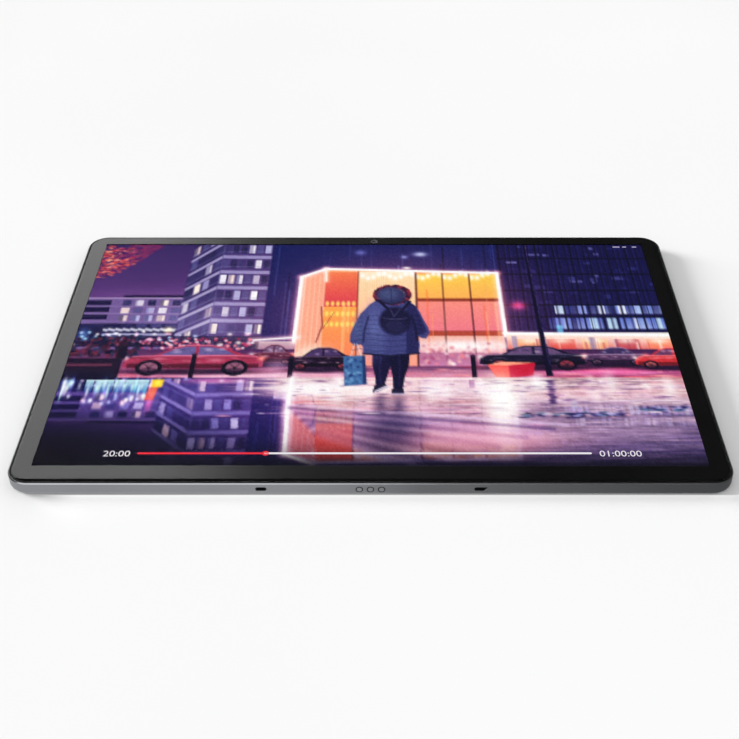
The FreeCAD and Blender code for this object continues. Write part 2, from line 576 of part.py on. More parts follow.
def make_boards():
    """Main board, port board, their shields, chips, ribbons, heat spreader and screws."""
    length, width = "board_right - board_left", "board_rear - board_front"
    middle = ("(board_right + board_left) / 2", "(board_rear + board_front) / 2", "board_base")
    board = block("board_blank", (length, width, "board_thickness"), middle)
    notch = block("board_camera_notch", ("front_camera_size + 2 * board_notch_slack", "front_camera_size",
                                        "board_thickness"),
                  ("0", "body_width / 2 - front_camera_back", "board_base"))
    tab_rear = "(body_width / 2 - wall_thickness - ribbon)"
    tabs = [block(f"microphone_tab_{n}",
                  ("mic_length + 2 * tab_margin", f"{tab_rear} - board_rear", "board_thickness"),
                  (f"{sign}mic_place", f"({tab_rear} + board_rear) / 2", "board_base"))
            for n, sign in enumerate(("-", ""))]
    holes = [bar(f"board_hole_{n}", "board_hole", "board_thickness", (x, y, "board_base"))
             for n, (x, y) in enumerate(SCREWS)]
    on_main_board = len(SCREWS) - PORT_BOARD_SCREWS
    keep("main_board", cut("main_board", fuse("main_board", board, *tabs), notch, *holes[:on_main_board]))

    port_blank = block("port_board_blank", ("port_board_length", "port_board_width", "board_thickness"),
                       ("body_length / 2 - port_recess - port_depth - port_board_length / 2 - slack", "0",
                        "board_base"))
    keep("usb_board", cut("usb_board", port_blank, *holes[on_main_board:]))

    make_shields()
    ribbon_rear = "board_front + ribbon_overlap"
    keep("usb_cable", block("usb_cable",
                            ("port_ribbon_width", f"{ribbon_rear} - port_ribbon_front", "ribbon"),
                            ("port_ribbon_place", f"({ribbon_rear} + port_ribbon_front) / 2", BOARD_TOP)))
    screws = []
    for number, (x, y) in enumerate(SCREWS):
        shank = bar(f"screw_shank_{number}", "screw_radius", "board_thickness + boss_depth - slack * 2",
                    (x, y, "board_base - boss_depth + slack * 2"))
        head = bar(f"screw_head_{number}", "screw_head", "screw_head_height", (x, y, BOARD_TOP))
        screws.append(fuse(f"screw_{number}", shank, head))
    keep("board_screws", group("board_screws", screws))


def make_shields():
    """Three shield cans, two chips under each, and the heat spreader that lies on the first two cans."""
    middle_y = "shield_front + shield_width / 2"
    cans, chips = [], []
    for number, (x, can_length) in enumerate(SHIELDS):
        shell = block(f"shield_shell_{number}", (can_length, "shield_width", "shield_height"),
                      (x, middle_y, BOARD_TOP))
        hollow = block(f"shield_hollow_{number}",
                       (f"{can_length} - 2 * shield_skin", "shield_width - 2 * shield_skin",
                        "shield_height - shield_skin"), (x, middle_y, BOARD_TOP))
        cans.append(cut(f"shield_{number}", shell, hollow))
        for step in (-1, 1):
            chips.append(block(f"chip_{number}_{step + 1}", ("chip_side", "chip_side", "chip_height"),
                               (f"{x} + {step} * {can_length} / 4", middle_y, BOARD_TOP)))
    keep("board_shields", group("board_shields", cans))
    keep("processor_and_memory", group("processor_and_memory", chips))
    keep("heat_spreader", block("heat_spreader",
                                ("spreader_length", "shield_width + 2 * spreader_margin", "ribbon"),
                                ("spreader_place", middle_y, BOARD_TOP + " + shield_height")))


def make_charging_port():
    """Metal shell of the reversible charging and data connector, and the contact tongue inside it."""
    shell_rear = "body_length / 2 - port_recess - port_depth"
    shell = side_prism("usb_port_shell", "YZ_Plane", ("0", "port_centre", shell_rear),
                       lambda s: slot_outline(s, "port_width", "port_height"), "port_depth")
    hollow_width, hollow_height = "port_width - 2 * port_skin", "port_height - 2 * port_skin"
    hollow = side_prism("usb_port_hollow", "YZ_Plane",
                        ("0", "port_centre", f"{shell_rear} + port_rear_skin"),
                        lambda s: slot_outline(s, hollow_width, hollow_height), "port_depth")
    keep("usb_port_shell", cut("usb_port_shell", shell, hollow))
    keep("usb_port_tongue", block("usb_port_tongue", ("tongue_length", "tongue_width", "tongue_height"),
                                  (f"{shell_rear} + port_rear_skin + tongue_length / 2", "0",
                                   "port_centre - tongue_height / 2")))


# ---- loudspeakers ----

def make_speakers():
    """Four sealed speaker boxes, each with a cone on top and a mesh behind its row of sound holes."""
    cones, meshes = [], []
    for side, sign in (("left", "-"), ("right", "")):
        boxes = []
        for end, way in (("front", "-"), ("rear", "")):
            name = f"speaker_{side}_{end}"
            wall = "body_length / 2 - wall_thickness"
            centre = (f"{sign}({wall} - speaker_gap - speaker_depth / 2)", f"{way}speaker_place",
                      "speaker_base")
            box = block(name + "_box", ("speaker_depth", "speaker_length", "speaker_height"), centre)
            seat = block(name + "_seat", ("cone_width + 4 * slack", "cone_length + 4 * slack", "cone_recess"),
                         (centre[0], centre[1], "speaker_base + speaker_height - cone_recess"))
            throat = block(name + "_throat",
                           ("throat_depth", "speaker_length - 2 * throat_margin", "throat_height"),
                           (f"{sign}({wall} - speaker_gap)", centre[1], "side_height - throat_height / 2"))
            boxes.append(cut(name, box, seat, throat))
            cones.append(block(name + "_cone", ("cone_width", "cone_length", "cone_thickness"),
                               (centre[0], centre[1], "speaker_base + speaker_height - cone_recess")))
            meshes.append(block(name + "_mesh",
                                ("mesh_thickness", "speaker_length - 2 * mesh_margin", "mesh_height"),
                                (f"{sign}({wall} - mesh_thickness)", centre[1],
                                 "side_height - mesh_height / 2")))
        keep(f"speakers_{side}", group(f"speakers_{side}", boxes))
    keep("speaker_cones", group("speaker_cones", cones))
    keep("speaker_meshes", group("speaker_meshes", meshes))


# ---- buttons ----

def make_power_button():
    """Push button in the left wall. It travels inwards along +X against its side-firing switch."""
    outer = "body_length / 2 + key_proud"
    inner = "body_length / 2 - wall_thickness - flange_gap"
    cap = side_prism("power_cap", "YZ_Plane", ("power_place", "side_height", f"-({outer})"),
                     lambda s: slot_outline(s, "power_length", "key_height"), f"{outer} - ({inner})")
    flange = block("power_flange", ("flange_thickness", "power_length + 2 * flange_overlap", "flange_height"),
                   (f"-({inner} - flange_thickness / 2)", "power_place", "side_height - flange_height / 2"))
    keep("power_button", fuse("power_button", cap, flange))
    tip = f"{inner} - flange_thickness"
    keep("power_switch_plunger", bar("power_switch_plunger", "plunger_radius", "plunger_length",
                                     (f"-({tip})", "power_place", "side_height"), "x"))
    mouth = f"{tip} - plunger_length + switch_bore_depth - switch_travel"
    case = block("power_switch_case", ("switch_depth", "switch_length", "switch_height"),
                 (f"-({mouth} - switch_depth / 2)", "power_place", "side_height - switch_height / 2"))
    bore = bar("power_switch_bore", "plunger_radius + plunger_slide", "switch_bore_depth",
               (f"-({mouth})", "power_place", "side_height"), "x")
    keep("power_switch", cut("power_switch", case, bore))


def make_volume_rocker():
    """Rocker in the rear wall. It tilts on a round rib in a fixed seat, and works a plunger at each end."""
    outer = "body_width / 2 + key_proud"
    inner = "body_width / 2 - wall_thickness - volume_flange_gap"
    cap = side_prism("volume_cap", "XZ_Plane", ("volume_place", "side_height", f"-({outer})"),
                     lambda s: slot_outline(s, "volume_length", "key_height"), f"{outer} - ({inner})")
    flange = block("volume_flange",
                   ("volume_length + 2 * flange_overlap", "flange_thickness", "flange_height"),
                   ("volume_place", f"{inner} - flange_thickness / 2", "side_height - flange_height / 2"))
    pivot_y = f"{inner} - flange_thickness / 2"
    rib = bar("volume_pivot_rib", "pivot_radius", "flange_height",
              ("volume_place", pivot_y, "side_height - flange_height / 2"))
    keep("volume_rocker", fuse("volume_rocker", cap, flange, rib))
    tip = f"{inner} - flange_thickness - plunger_gap"
    mouth = f"{tip} - plunger_length + switch_bore_depth - switch_travel"
    cases = []
    for name, sign in (("up", "+"), ("down", "-")):
        x = f"volume_place {sign} volume_arm"
        keep(f"volume_{name}_plunger", bar(f"volume_{name}_plunger", "plunger_radius", "plunger_length",
                                           (x, f"{tip} - plunger_length", "side_height"), "y"))
        case = block(f"volume_{name}_case", ("switch_length", "switch_depth", "switch_height"),
                     (x, f"{mouth} - switch_depth / 2", "side_height - switch_height / 2"))
        bore = bar(f"volume_{name}_bore", "plunger_radius + plunger_slide", "switch_bore_depth",
                   (x, f"{mouth} - switch_bore_depth", "side_height"), "y")
        cases.append(cut(f"volume_{name}_switch", case, bore))
    seat_front = f"{inner} - flange_thickness - flange_gap - slack"
    seat = block("volume_seat_block", ("switch_length", "switch_depth", "switch_height"),
                 ("volume_place", f"{seat_front} - switch_depth / 2", "side_height - switch_height / 2"))
    seat_bore = bar("volume_seat_bore", "pivot_radius + plunger_slide", "body_height",
                    ("volume_place", pivot_y, "0"))
    cases.append(cut("volume_seat", seat, seat_bore))
    keep("volume_switches", group("volume_switches", cases))


def make_button_cable():
    """Flat ribbon that runs from behind the power switch round to the two volume switches."""
    base = "side_height - switch_height / 2 - ribbon"
    left_x = "-(body_length / 2 - button_ribbon_inset)"
    wall_x = "-(body_length / 2 - button_ribbon_edge)"
    rear_y = "(body_width / 2 - button_ribbon_edge - button_ribbon_width / 2)"
    end_x = "(volume_place + volume_arm + switch_length / 2)"
    under_power = block("button_ribbon_power", (f"{left_x} - ({wall_x})", "button_ribbon_width", "ribbon"),
                        (f"({left_x} + ({wall_x})) / 2", "power_place", base))
    inward = block("button_ribbon_left", ("button_ribbon_width", f"{rear_y} - power_place", "ribbon"),
                   (left_x, f"({rear_y} + power_place) / 2", base))
    under_volume = block("button_ribbon_rear", (f"{end_x} - ({left_x})", "button_ribbon_width", "ribbon"),
                         (f"({end_x} + ({left_x})) / 2", rear_y, base))
    keep("button_cable", fuse("button_cable", under_power, inward, under_volume))


# ---- memory card tray ----

def make_card_tray():
    """Tray that slides out along +X, with a pin hole in its face and a pocket for the card."""
    outer = "body_length / 2"
    face = side_prism("tray_face", "YZ_Plane", ("tray_place", "side_height", f"{outer} - face_thickness"),
                      lambda s: slot_outline(s, "face_length", "face_height"), "face_thickness")
    rear = f"({outer} - face_thickness - carrier_length)"
    carrier = block("tray_carrier", ("carrier_length", "carrier_width", "carrier_height"),
                    (f"{rear} + carrier_length / 2", "tray_place", "side_height - carrier_height / 2"))
    card_seat = block("tray_card_seat", ("card_length", "card_width", "card_depth"),
                      (f"{rear} + (carrier_width - card_width) / 2 + card_length / 2", "tray_place",
                       "side_height + carrier_height / 2 - card_depth"))
    pin_hole = bar("tray_pin_hole", "pin_hole_radius", "face_thickness",
                   (f"{outer} - face_thickness", "tray_place + pin_hole_offset", "side_height"), "x")
    keep("card_tray", cut("card_tray", fuse("card_tray", face, carrier), card_seat, pin_hole))


def make_card_socket():
    """Sheet metal cage around the tray, with a guide for the push rod and the ejector lever's pin."""
    mouth = "(body_length / 2 - face_thickness - mouth_gap)"
    centre_y = "tray_place + cage_shift"
    shell = block("cage_shell", ("cage_length", "cage_width", "cage_height"),
                  (f"{mouth} - cage_length / 2", centre_y, "side_height - cage_height / 2"))
    hollow = block("cage_hollow",
                   ("cage_length", "cage_width - 2 * cage_skin", "cage_height - 2 * cage_skin"),
                   (f"{mouth} - cage_length / 2 + cage_skin", centre_y,
                    "side_height - cage_height / 2 + cage_skin"))
    cage_floor = "side_height - cage_height / 2"
    feet = [block(f"cage_foot_{n}", ("cage_foot", "cage_width", f"{cage_floor} - floor_thickness"),
                  (f"{mouth} - {x}", centre_y, "floor_thickness"))
            for n, x in enumerate(("cage_foot", "cage_length + cage_foot"))]
    rod_y = "tray_place + pin_hole_offset"
    guide = block("rod_guide", ("rod_guide_length", "rod_guide_length", "cage_height - 2 * cage_skin"),
                  (f"{mouth} - cage_length / 2",
                   f"{centre_y} + cage_width / 2 - cage_skin - rod_guide_length / 2",
                   f"{cage_floor} + cage_skin"))
    guide_bore = bar("rod_guide_bore", "rod_guide_radius", "2 * rod_guide_length",
                     (f"{mouth} - cage_length / 2 - rod_guide_length", rod_y, "side_height"), "x")
    cage = fuse("card_socket", cut("cage", shell, hollow), guide, *feet)
    keep("card_socket", cut("card_socket", cage, guide_bore))
    keep("eject_lever_pin", bar("eject_lever_pin", "lever_pin_radius", "cage_height - 2 * cage_skin",
                                ("lever_back", "lever_place", f"{cage_floor} + cage_skin")))
    keep("eject_rod", bar("eject_rod", "eject_rod_radius", "eject_rod_length",
                          (f"{mouth} - slack - eject_rod_length", rod_y, "side_height"), "x"))
    arm = block("lever_bar", ("lever_depth", "lever_arm + lever_nose", "lever_height"),
                ("lever_back", "lever_place + (lever_arm - lever_nose) / 2",
                 "side_height - lever_height / 2"))
    eye = bar("lever_eye", "lever_bore + lever_eye_wall", "lever_height",
              ("lever_back", "lever_place", "side_height - lever_height / 2"))
    bore = bar("lever_bore_hole", "lever_bore", "body_height", ("lever_back", "lever_place", "0"))
    keep("eject_lever", cut("eject_lever", fuse("eject_lever", arm, eye), bore))


# ---- dock edge ----

def make_dock_edge():
    """Three contacts in black collars, two slots with cups, the holding magnets and the ribbon."""
    face = "body_width / 2"
    inner = "body_width / 2 - wall_thickness"
    places = [f"contact_pitch * {n}" for n in (-1, 0, 1)]
    collars = [bar(f"contact_collar_{n}", "contact_hole - collar_slack", "wall_thickness",
                   (x, f"slack - {face}", "side_height"), "y") for n, x in enumerate(places)]
    holder = block("contact_block", ("carrier_block", "carrier_depth", "carrier_rise"),
                   ("0", f"slack + carrier_depth / 2 - ({inner})", "side_height - carrier_rise / 2"))
    bores = [bar(f"contact_bore_{n}", "contact_radius + collar_slack", "2 * contact_length",
                 (x, f"-({face})", "side_height"), "y") for n, x in enumerate(places)]
    holder = fuse("dock_contact_holder", holder, *collars)
    keep("dock_contact_holder", cut("dock_contact_holder", holder, *bores))
    pins = [bar(f"dock_contact_{n}", "contact_radius", "contact_length",
                (x, f"contact_recess - {face}", "side_height"), "y") for n, x in enumerate(places)]
    keep("dock_contacts", group("dock_contacts", pins))
    cable_front = f"({inner} - dock_cable_gap)"
    keep("dock_cable", block("dock_cable",
                             ("cell_gap - 2 * dock_cable_margin", f"board_front + {cable_front}", "ribbon"),
                             ("0", f"(board_front - {cable_front}) / 2 + dock_cable_margin",
                              "floor_thickness")))

    for side, sign, draw in (
        ("left", "-", lambda s: slot_outline(s, "dock_slot_length", "dock_slot_height")),
        ("right", "", lambda s: keyed_outline(s, "dock_slot_length", "dock_slot_height", "dock_key")),
    ):
        name = f"dock_slot_cup_{side}"
        cup = block(name + "_case", ("dock_cup_length", "dock_cup_depth", "dock_cup_height"),
                    (f"{sign}dock_place", f"slack + dock_cup_depth / 2 - ({inner})",
                     "side_height - dock_cup_height / 2"))
        hollow = side_prism(name + "_hollow", "XZ_Plane",
                            (f"{sign}dock_place", "dock_height",
                             f"{inner} - slack - dock_cup_depth + cup_floor"), draw, "dock_cup_depth")
        keep(name, cut(name, cup, hollow))
    magnets = [block(f"dock_magnet_{n}", ("magnet_length", "magnet_width", "magnet_height"),
                     (x, f"magnet_gap + magnet_width / 2 - ({inner})", "side_height - magnet_height / 2"))
               for n, x in enumerate(MAGNET_PLACES)]
    keep("dock_magnets", group("dock_magnets", magnets))


# ---- cameras and microphones ----

def make_front_camera():
    """Camera that looks out through the hole in the printed border, and its small front lens."""
    y = "body_width / 2 - front_camera_back"
    barrel_top = "(glass_base - 1.5 * ribbon)"
    lens_base = f"{barrel_top} - front_lens_depth"
    case = block("front_camera_case",
                 ("front_camera_size", "front_camera_width", "plate_base - front_camera_base"),
                 ("0", y + " - 2 * ribbon", "front_camera_base"))
    barrel = bar("front_camera_barrel", "front_barrel", f"{barrel_top} - plate_base", ("0", y, "plate_base"))
    seat = bar("front_lens_seat", "front_lens + slack", "front_lens_depth", ("0", y, lens_base))
    keep("front_camera", cut("front_camera", fuse("front_camera", case, barrel), seat))
    keep("front_camera_lens", bar("front_camera_lens", "front_lens", "front_lens_depth - slack",
                                  ("0", y, lens_base)))


def make_rear_cameras():
    """Two camera modules behind one flush window in a metal trim ring, and the flash beside them."""
    at = ("camera_place_x", "camera_place_y")
    body = new_body("rear_camera_trim")
    sketch = sketch_on(body, "XY_Plane", (*at, "0"), "camera_trim_outline")
    slot_outline(sketch, "trim_length", "trim_width")
    slot_outline(sketch, "trim_length - 2 * trim_wall", "trim_width - 2 * trim_wall", "inner")
    pad(body, sketch, "floor_thickness", "camera_trim_pad")
    keep("rear_camera_trim", body)
    body = new_body("rear_camera_window")
    sketch = sketch_on(body, "XY_Plane", (*at, "window_recess"), "camera_window_outline")
    rim = "2 * (trim_wall + slack)"
    slot_outline(sketch, f"trim_length - {rim}", f"trim_width - {rim}")
    pad(body, sketch, "window_thickness", "camera_window_pad")
    keep("rear_camera_window", body)
    for name, sign in (("main", "-"), ("wide", "+")):
        x = f"camera_place_x {sign} camera_spacing / 2"
        case = block(f"camera_{name}_case",
                     (f"{name}_camera", f"{name}_camera", "plate_base - slack - board_base"),
                     (x, "camera_place_y", "board_base"))
        barrel = bar(f"camera_{name}_barrel", f"{name}_barrel", "board_base - floor_thickness",
                     (x, "camera_place_y", "floor_thickness"))
        keep(f"rear_camera_{name}", fuse(f"rear_camera_{name}", case, barrel))
    flash_at = ("flash_place", "camera_place_y")
    keep("flash_lens", bar("flash_lens", "flash_radius", "floor_thickness", (*flash_at, "0")))
    keep("flash_lamp", block("flash_lamp", ("flash_lamp_side", "flash_lamp_side", "flash_lamp_height"),
                             (*flash_at, "floor_thickness + slack")))


def make_microphones_and_radio():
    """Two microphones behind their holes in the rear wall, two flat antennas and their coaxial leads."""
    rear = "body_width / 2 - wall_thickness - ribbon"
    microphones = [block(f"microphone_{n}", ("mic_length", "mic_width", "mic_height"),
                         (f"{sign}mic_place", f"{rear} - mic_width / 2", BOARD_TOP))
                   for n, sign in enumerate(("-", ""))]
    keep("microphones", group("microphones", microphones))
    antennas = [block(f"antenna_{n}", ("antenna_length", "antenna_width", "ribbon"),
                      (f"window_place_x {sign} antenna_spacing / 2", "window_place_y", "floor_thickness"))
                for n, sign in enumerate(("-", "+"))]
    keep("radio_antennas", group("radio_antennas", antennas))
    lead_y = "window_place_y + antenna_width / 2 - coax_radius"
    leads = [bar(f"antenna_lead_{n}", "coax_radius", "coax_length",
                 (f"window_place_x {sign} coax_spacing / 2 - coax_length / 2", lead_y,
                  "floor_thickness + ribbon + coax_radius"), "x") for n, sign in enumerate(("-", "+"))]
    keep("antenna_leads", group("antenna_leads", leads))


def check_and_export():
    """Stops on any failed object or bad shape, then writes one STEP file for each sub-part."""
    doc.recompute()
    for thing in doc.Objects:
        if {"Invalid", "Error"} & set(thing.State):
            raise RuntimeError(f"{thing.Label} failed: {thing.State}")
    os.makedirs("parts", exist_ok=True)
    for name, piece in nodes.items():
        shape = piece.Shape
        if shape.isNull() or not shape.isValid() or not shape.Solids:
            raise RuntimeError(f"{name} has no valid solid")
        shape.exportStep(f"parts/{name}.step")
    print(len(nodes), "sub-parts written")


make_rear_cover()
make_antenna_window()
make_screen()
make_display_electronics()
make_battery()
make_boards()
make_charging_port()
make_speakers()
make_power_button()
make_volume_rocker()
make_button_cable()
make_card_tray()
make_card_socket()
make_dock_edge()
make_front_camera()
make_rear_cameras()
make_microphones_and_radio()
check_and_export()
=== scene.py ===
import json
import math

import bmesh
import bpy
import numpy as np
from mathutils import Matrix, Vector

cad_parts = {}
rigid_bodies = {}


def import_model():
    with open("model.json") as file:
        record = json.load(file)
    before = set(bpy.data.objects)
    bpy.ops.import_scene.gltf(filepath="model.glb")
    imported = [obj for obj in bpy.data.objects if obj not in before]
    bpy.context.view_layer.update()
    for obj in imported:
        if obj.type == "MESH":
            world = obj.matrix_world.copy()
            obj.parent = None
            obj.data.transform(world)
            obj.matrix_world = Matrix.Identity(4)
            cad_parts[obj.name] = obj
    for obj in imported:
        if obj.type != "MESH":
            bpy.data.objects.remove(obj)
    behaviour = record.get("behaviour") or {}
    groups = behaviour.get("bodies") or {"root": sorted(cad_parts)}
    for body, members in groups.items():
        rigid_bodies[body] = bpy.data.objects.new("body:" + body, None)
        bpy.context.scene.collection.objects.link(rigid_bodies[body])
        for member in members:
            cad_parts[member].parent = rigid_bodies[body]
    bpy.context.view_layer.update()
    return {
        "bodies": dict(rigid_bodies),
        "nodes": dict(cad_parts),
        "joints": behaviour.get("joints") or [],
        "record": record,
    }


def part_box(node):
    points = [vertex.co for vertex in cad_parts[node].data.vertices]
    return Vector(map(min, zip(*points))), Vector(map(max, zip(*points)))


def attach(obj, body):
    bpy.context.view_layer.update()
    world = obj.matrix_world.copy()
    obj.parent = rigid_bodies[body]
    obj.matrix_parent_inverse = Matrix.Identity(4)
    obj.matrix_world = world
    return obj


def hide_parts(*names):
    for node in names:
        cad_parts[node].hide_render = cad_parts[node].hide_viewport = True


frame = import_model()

# ---- sizes in millimetres; places come from the frame ----

MM = 0.001
CORNER_STEPS = 24
CASE_CORNER = 8.5
UNDER_RADIUS = 1.4
CHAMFER = 0.35
EDGE_SOFTNESS = 0.05
REBATE_INSET = 0.5
REBATE_FLOOR = 3.9
WALL = 1.3
CASE_FLOOR = 0.8
SCREEN_INSET = 8.3
PICTURE_INSET = 8.0
SEEN_RISE = 0.35
PICTURE_TOP = 4.94 + SEEN_RISE
GLASS_RECESS = 0.5
WINDOW_RADIUS = 1.5
GAP = 0.1
SQUARE = ((1, 1), (-1, 1), (-1, -1), (1, -1))
SHELL_SMOOTH = 28
OPENING_DEPTH = 2.2
POWER_OPENING = (13.2, 2.4)
VOLUME_OPENING = (24.8, 2.4)
MIC_PLACE = 40
MIC_HOLE = 0.45
SPEAKER_PLACE = 42
GRILLE_HOLES = 10
GRILLE_PITCH = 2.5
GRILLE_RADIUS = 0.55
CONTACT_HOLE = 1.35
CONTACT_PITCH = 4.03
DOCK_SLOT = (4.0, 1.6)
DOCK_SLOT_HEIGHT = 2.6
DOCK_KEY_LOW = 1.2
DOCK_KEY_HIGH = 2.7
LIP = 0.3
LEDGE_TOP = 4.75
LEDGE_REACH = 5.5
RIM_HOLE = 2.5
BORDER_HOLE = 1.7
GLASS_CURVE_REACH = 1.7
GLASS_CURVE_DROP = 0.45
MAIN_BARREL = 3.4
WIDE_BARREL = 2.7
INK_CLEARANCE = 0.2

# ---- marks on the display: shares across and down it, figure size and levels in millimetres ----

LINE_FROM = 0.154
PLAYED_TO = 0.343
LINE_TO = 0.827
LINE_DOWN = 0.951
FIGURE_SIZE = 4.6
OVERLAY_LEVELS = (PICTURE_TOP + 0.02, PICTURE_TOP + 0.04)

# ---- the camera and the light ----

CAMERA_PLACE = (0.00591, -0.41857, 0.30761)
CAMERA_PITCH = 37.015
CAMERA_LENS = 60.75
CAMERA_SHIFT = -0.0235
SUN_HEIGHT = 15
SUN_TURN = 20
SUN_STRENGTH = 5.2
SUN_SOFTNESS = 24
SKY_STRENGTH = 0.75
MIRROR_STRENGTH = 2.1
MIRRORED_BEHIND = ((-0.19, 1.0), (-0.15, 0.72), (-0.12, 0.4), (-0.09, 0.2), (-0.05, 0.12), (0.0, 0.085),
                   (0.06, 0.055), (0.12, 0.025))
MIRRORED_AHEAD = ((-0.07, 0.46), (-0.03, 0.42), (0.0, 0.25), (0.026, 0.075), (0.06, 0.047), (0.3, 0.038))
PANEL_TOP = (0.73, 0.79)
PANEL_FOOT = (0.3, 0.44)
PANEL_SIDE = (-0.8, -0.4)
PANEL_AHEAD = (-0.5, -0.3)
DARK_ROOM = 0.02
GLASS_BLUR = 0.015
FLOOR_REACH = 2500
FLOOR_LEVEL = -0.04
FLOOR_SPAN = 0.2
# Painted light on the floor: a glow in a strip in front of the casing's front edge lightens the shadow
# there, stronger on the left.
FRONT_GLOW = 0.62
FRONT_GLOW_RIGHT = 0.46
FRONT_GLOW_REACH = 5.0
FRONT_GLOW_END = 0.124
FRONT_GLOW_FADE = 0.02
# Painted reflection: how brightly the floor glows to mirrored rays at each place across it, mostly darker
# towards the right.
FLOOR_PAINTED_REFLECTION = ((-0.2, 0.5), (-0.15, 0.3), (-0.135, 0.85), (-0.026, 0.85), (0.004, 0.6), (0.018, 0.44),
                  (0.063, 0.31), (0.107, 0.21), (0.135, 0.18))


def box_mm(node):
    """A CAD node's lowest and highest corners in millimetres."""
    low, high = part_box(node)
    return low / MM, high / MM


def centre_mm(node):
    """The middle of a CAD node's box in millimetres."""
    low, high = box_mm(node)
    return (low + high) / 2


CASE_LOW, CASE_HIGH = box_mm("rear_cover")
CASE_HALF = (CASE_HIGH - CASE_LOW) / 2
CASE_TOP = CASE_HIGH.z
PICTURE_MIDDLE = centre_mm("optical_adhesive").y


# ---- meshes ----

def add_object(name, data):
    """A new object in the scene."""
    made = bpy.data.objects.new(name, data)
    bpy.context.scene.collection.objects.link(made)
    return made


def mesh_of(name, shape, material):
    """A mesh in one material from points in millimetres and faces."""
    points, faces = shape
    mesh = bpy.data.meshes.new(name)
    mesh.from_pydata([Vector(point) * MM for point in points], [], faces)
    mesh.materials.append(material)
    return mesh


def new_piece(name, shape, material, replaces=(), smooth=35):
    """A piece in the shape of points and faces, riding on the casing and standing for some CAD nodes."""
    mesh = mesh_of(name, shape, material)
    mesh.validate()
    shade(mesh, smooth)
    piece = add_object(name, mesh)
    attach(piece, "casing")
    if replaces:
        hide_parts(*replaces)
    return piece


def shade(mesh, angle=35):
    """Smooth shading that keeps edges sharper than angle."""
    mesh.polygons.foreach_set("use_smooth", [True] * len(mesh.polygons))
    mesh.set_sharp_from_angle(angle=math.radians(angle))


def even_normals(piece):
    """Lets the large faces set the shading where they meet small ones."""
    modifier = piece.modifiers.new("even_normals", "WEIGHTED_NORMAL")
    modifier.keep_sharp = True
    modifier.weight = 80


def outline(inset, radius=None):
    """The casing's rounded rectangle moved inwards, anticlockwise from its right side."""
    radius = max(CASE_CORNER - inset, 0.05) if radius is None else radius
    half_x, half_y = CASE_HALF.x - inset, CASE_HALF.y - inset
    points = []
    for quarter, (side_x, side_y) in enumerate(SQUARE):
        middle = (side_x * (half_x - radius), side_y * (half_y - radius))
        points += arc(middle, radius, 90 * quarter, 90 * (quarter + 1), CORNER_STEPS)
    return points


def arc(centre, radius, start, end, steps):
    """Points along a round stretch of a profile, turning from start to end in degrees."""
    turns = [math.radians(start + (end - start) * step / steps) for step in range(steps + 1)]
    return [(centre[0] + radius * math.cos(turn), centre[1] + radius * math.sin(turn)) for turn in turns]


def soften(profile, radius, steps=3):
    """The profile with its inner corners rounded to a small radius."""
    soft = [profile[0]]
    for before, corner, after in zip(profile, profile[1:], profile[2:]):
        corner = Vector(corner)
        back = (Vector(before) - corner).normalized() * radius
        ahead = (Vector(after) - corner).normalized() * radius
        for step in range(steps + 1):
            share = step / steps
            soft.append(tuple(corner + back * (1 - share) ** 2 + ahead * share ** 2))
    return soft + [profile[-1]]


def swept(rings, closed=False, caps=True):
    """Points and faces through rings of equal length, closed on itself or capped at both ends."""
    count = len(rings[0])
    points = [point for ring in rings for point in ring]
    faces = []
    for ring in range(len(rings) if closed else len(rings) - 1):
        low, high = ring * count, (ring + 1) % len(rings) * count
        for side in range(count):
            following = (side + 1) % count
            faces.append((low + side, low + following, high + following, high + side))
    if caps and not closed:
        faces.append(tuple(range(count - 1, -1, -1)))
        faces.append(tuple(range((len(rings) - 1) * count, len(rings) * count)))
    return points, faces


def upright(shape, levels, middle=(0, 0)):
    """A capped solid with the same outline about middle at each level."""
    return swept([[(middle[0] + x, middle[1] + y, level) for x, y in shape] for level in levels])


def case_rings(profile):
    """A ring round the casing for each inset and height of a profile."""
    return [[(x, y, height) for x, y in outline(inset)] for inset, height in profile]


def lathed(profile, middle, steps=48):
    """A ring about the upright line through middle for each radius and height of a profile."""
    turns = [2 * math.pi * step / steps for step in range(steps)]
    circle = [(math.cos(turn), math.sin(turn)) for turn in turns]
    return [[(middle.x + radius * x, middle.y + radius * y, height) for x, y in circle]
            for radius, height in profile]


def bore(radius, low, high, middle):
    """A cutter for a round upright hole, reaching past low and high."""
    return swept(lathed([(radius, low - 1), (radius, high + 1)], middle))


def slot_shape(length, height, steps=16):
    """An obround, long side across, as anticlockwise points about its middle."""
    reach = (length - height) / 2
    right = arc((reach, 0), height / 2, -90, 90, steps)
    return right + arc((-reach, 0), height / 2, 90, 270, steps)


def round_shape(radius, steps=16):
    """A circle as anticlockwise points about its middle."""
    return slot_shape(2 * radius, 2 * radius - 0.001, steps)


def keyed_shape():
    """The right dock slot: round at its left end and slanted at its right end."""
    length, height = DOCK_SLOT
    left = arc(((height - length) / 2, 0), height / 2, 90, 270, 16)
    return left + [(DOCK_KEY_LOW, -height / 2), (DOCK_KEY_HIGH, height / 2)]


def grown(shape, by):
    """A shape moved outwards by about the same distance everywhere."""
    low, high = np.min(shape, axis=0), np.max(shape, axis=0)
    middle, half = (low + high) / 2, (high - low) / 2
    return [tuple(middle + (np.array(point) - middle) * (1 + by / half)) for point in shape]


def wall_cutter(shape, place, direction, surface, flare):
    """A cutter through a wall: shape about place, flared where it meets the outer surface."""
    sign = 1 if direction[0] == "+" else -1
    stations = ((surface + sign * 1.0, flare), (surface, flare), (surface - sign * flare, 0.0),
                (surface - sign * OPENING_DEPTH, 0.0))
    rings = []
    for station, growth in stations:
        ring = []
        for across, up in grown(shape, growth):
            if direction[1] == "x":
                ring.append((station, place[1] + sign * across, place[2] + up))
            elif direction[1] == "y":
                ring.append((place[0] - sign * across, station, place[2] + up))
            else:
                ring.append((place[0] + sign * across, place[1] + up, station))
        rings.append(ring)
    return swept(rings)


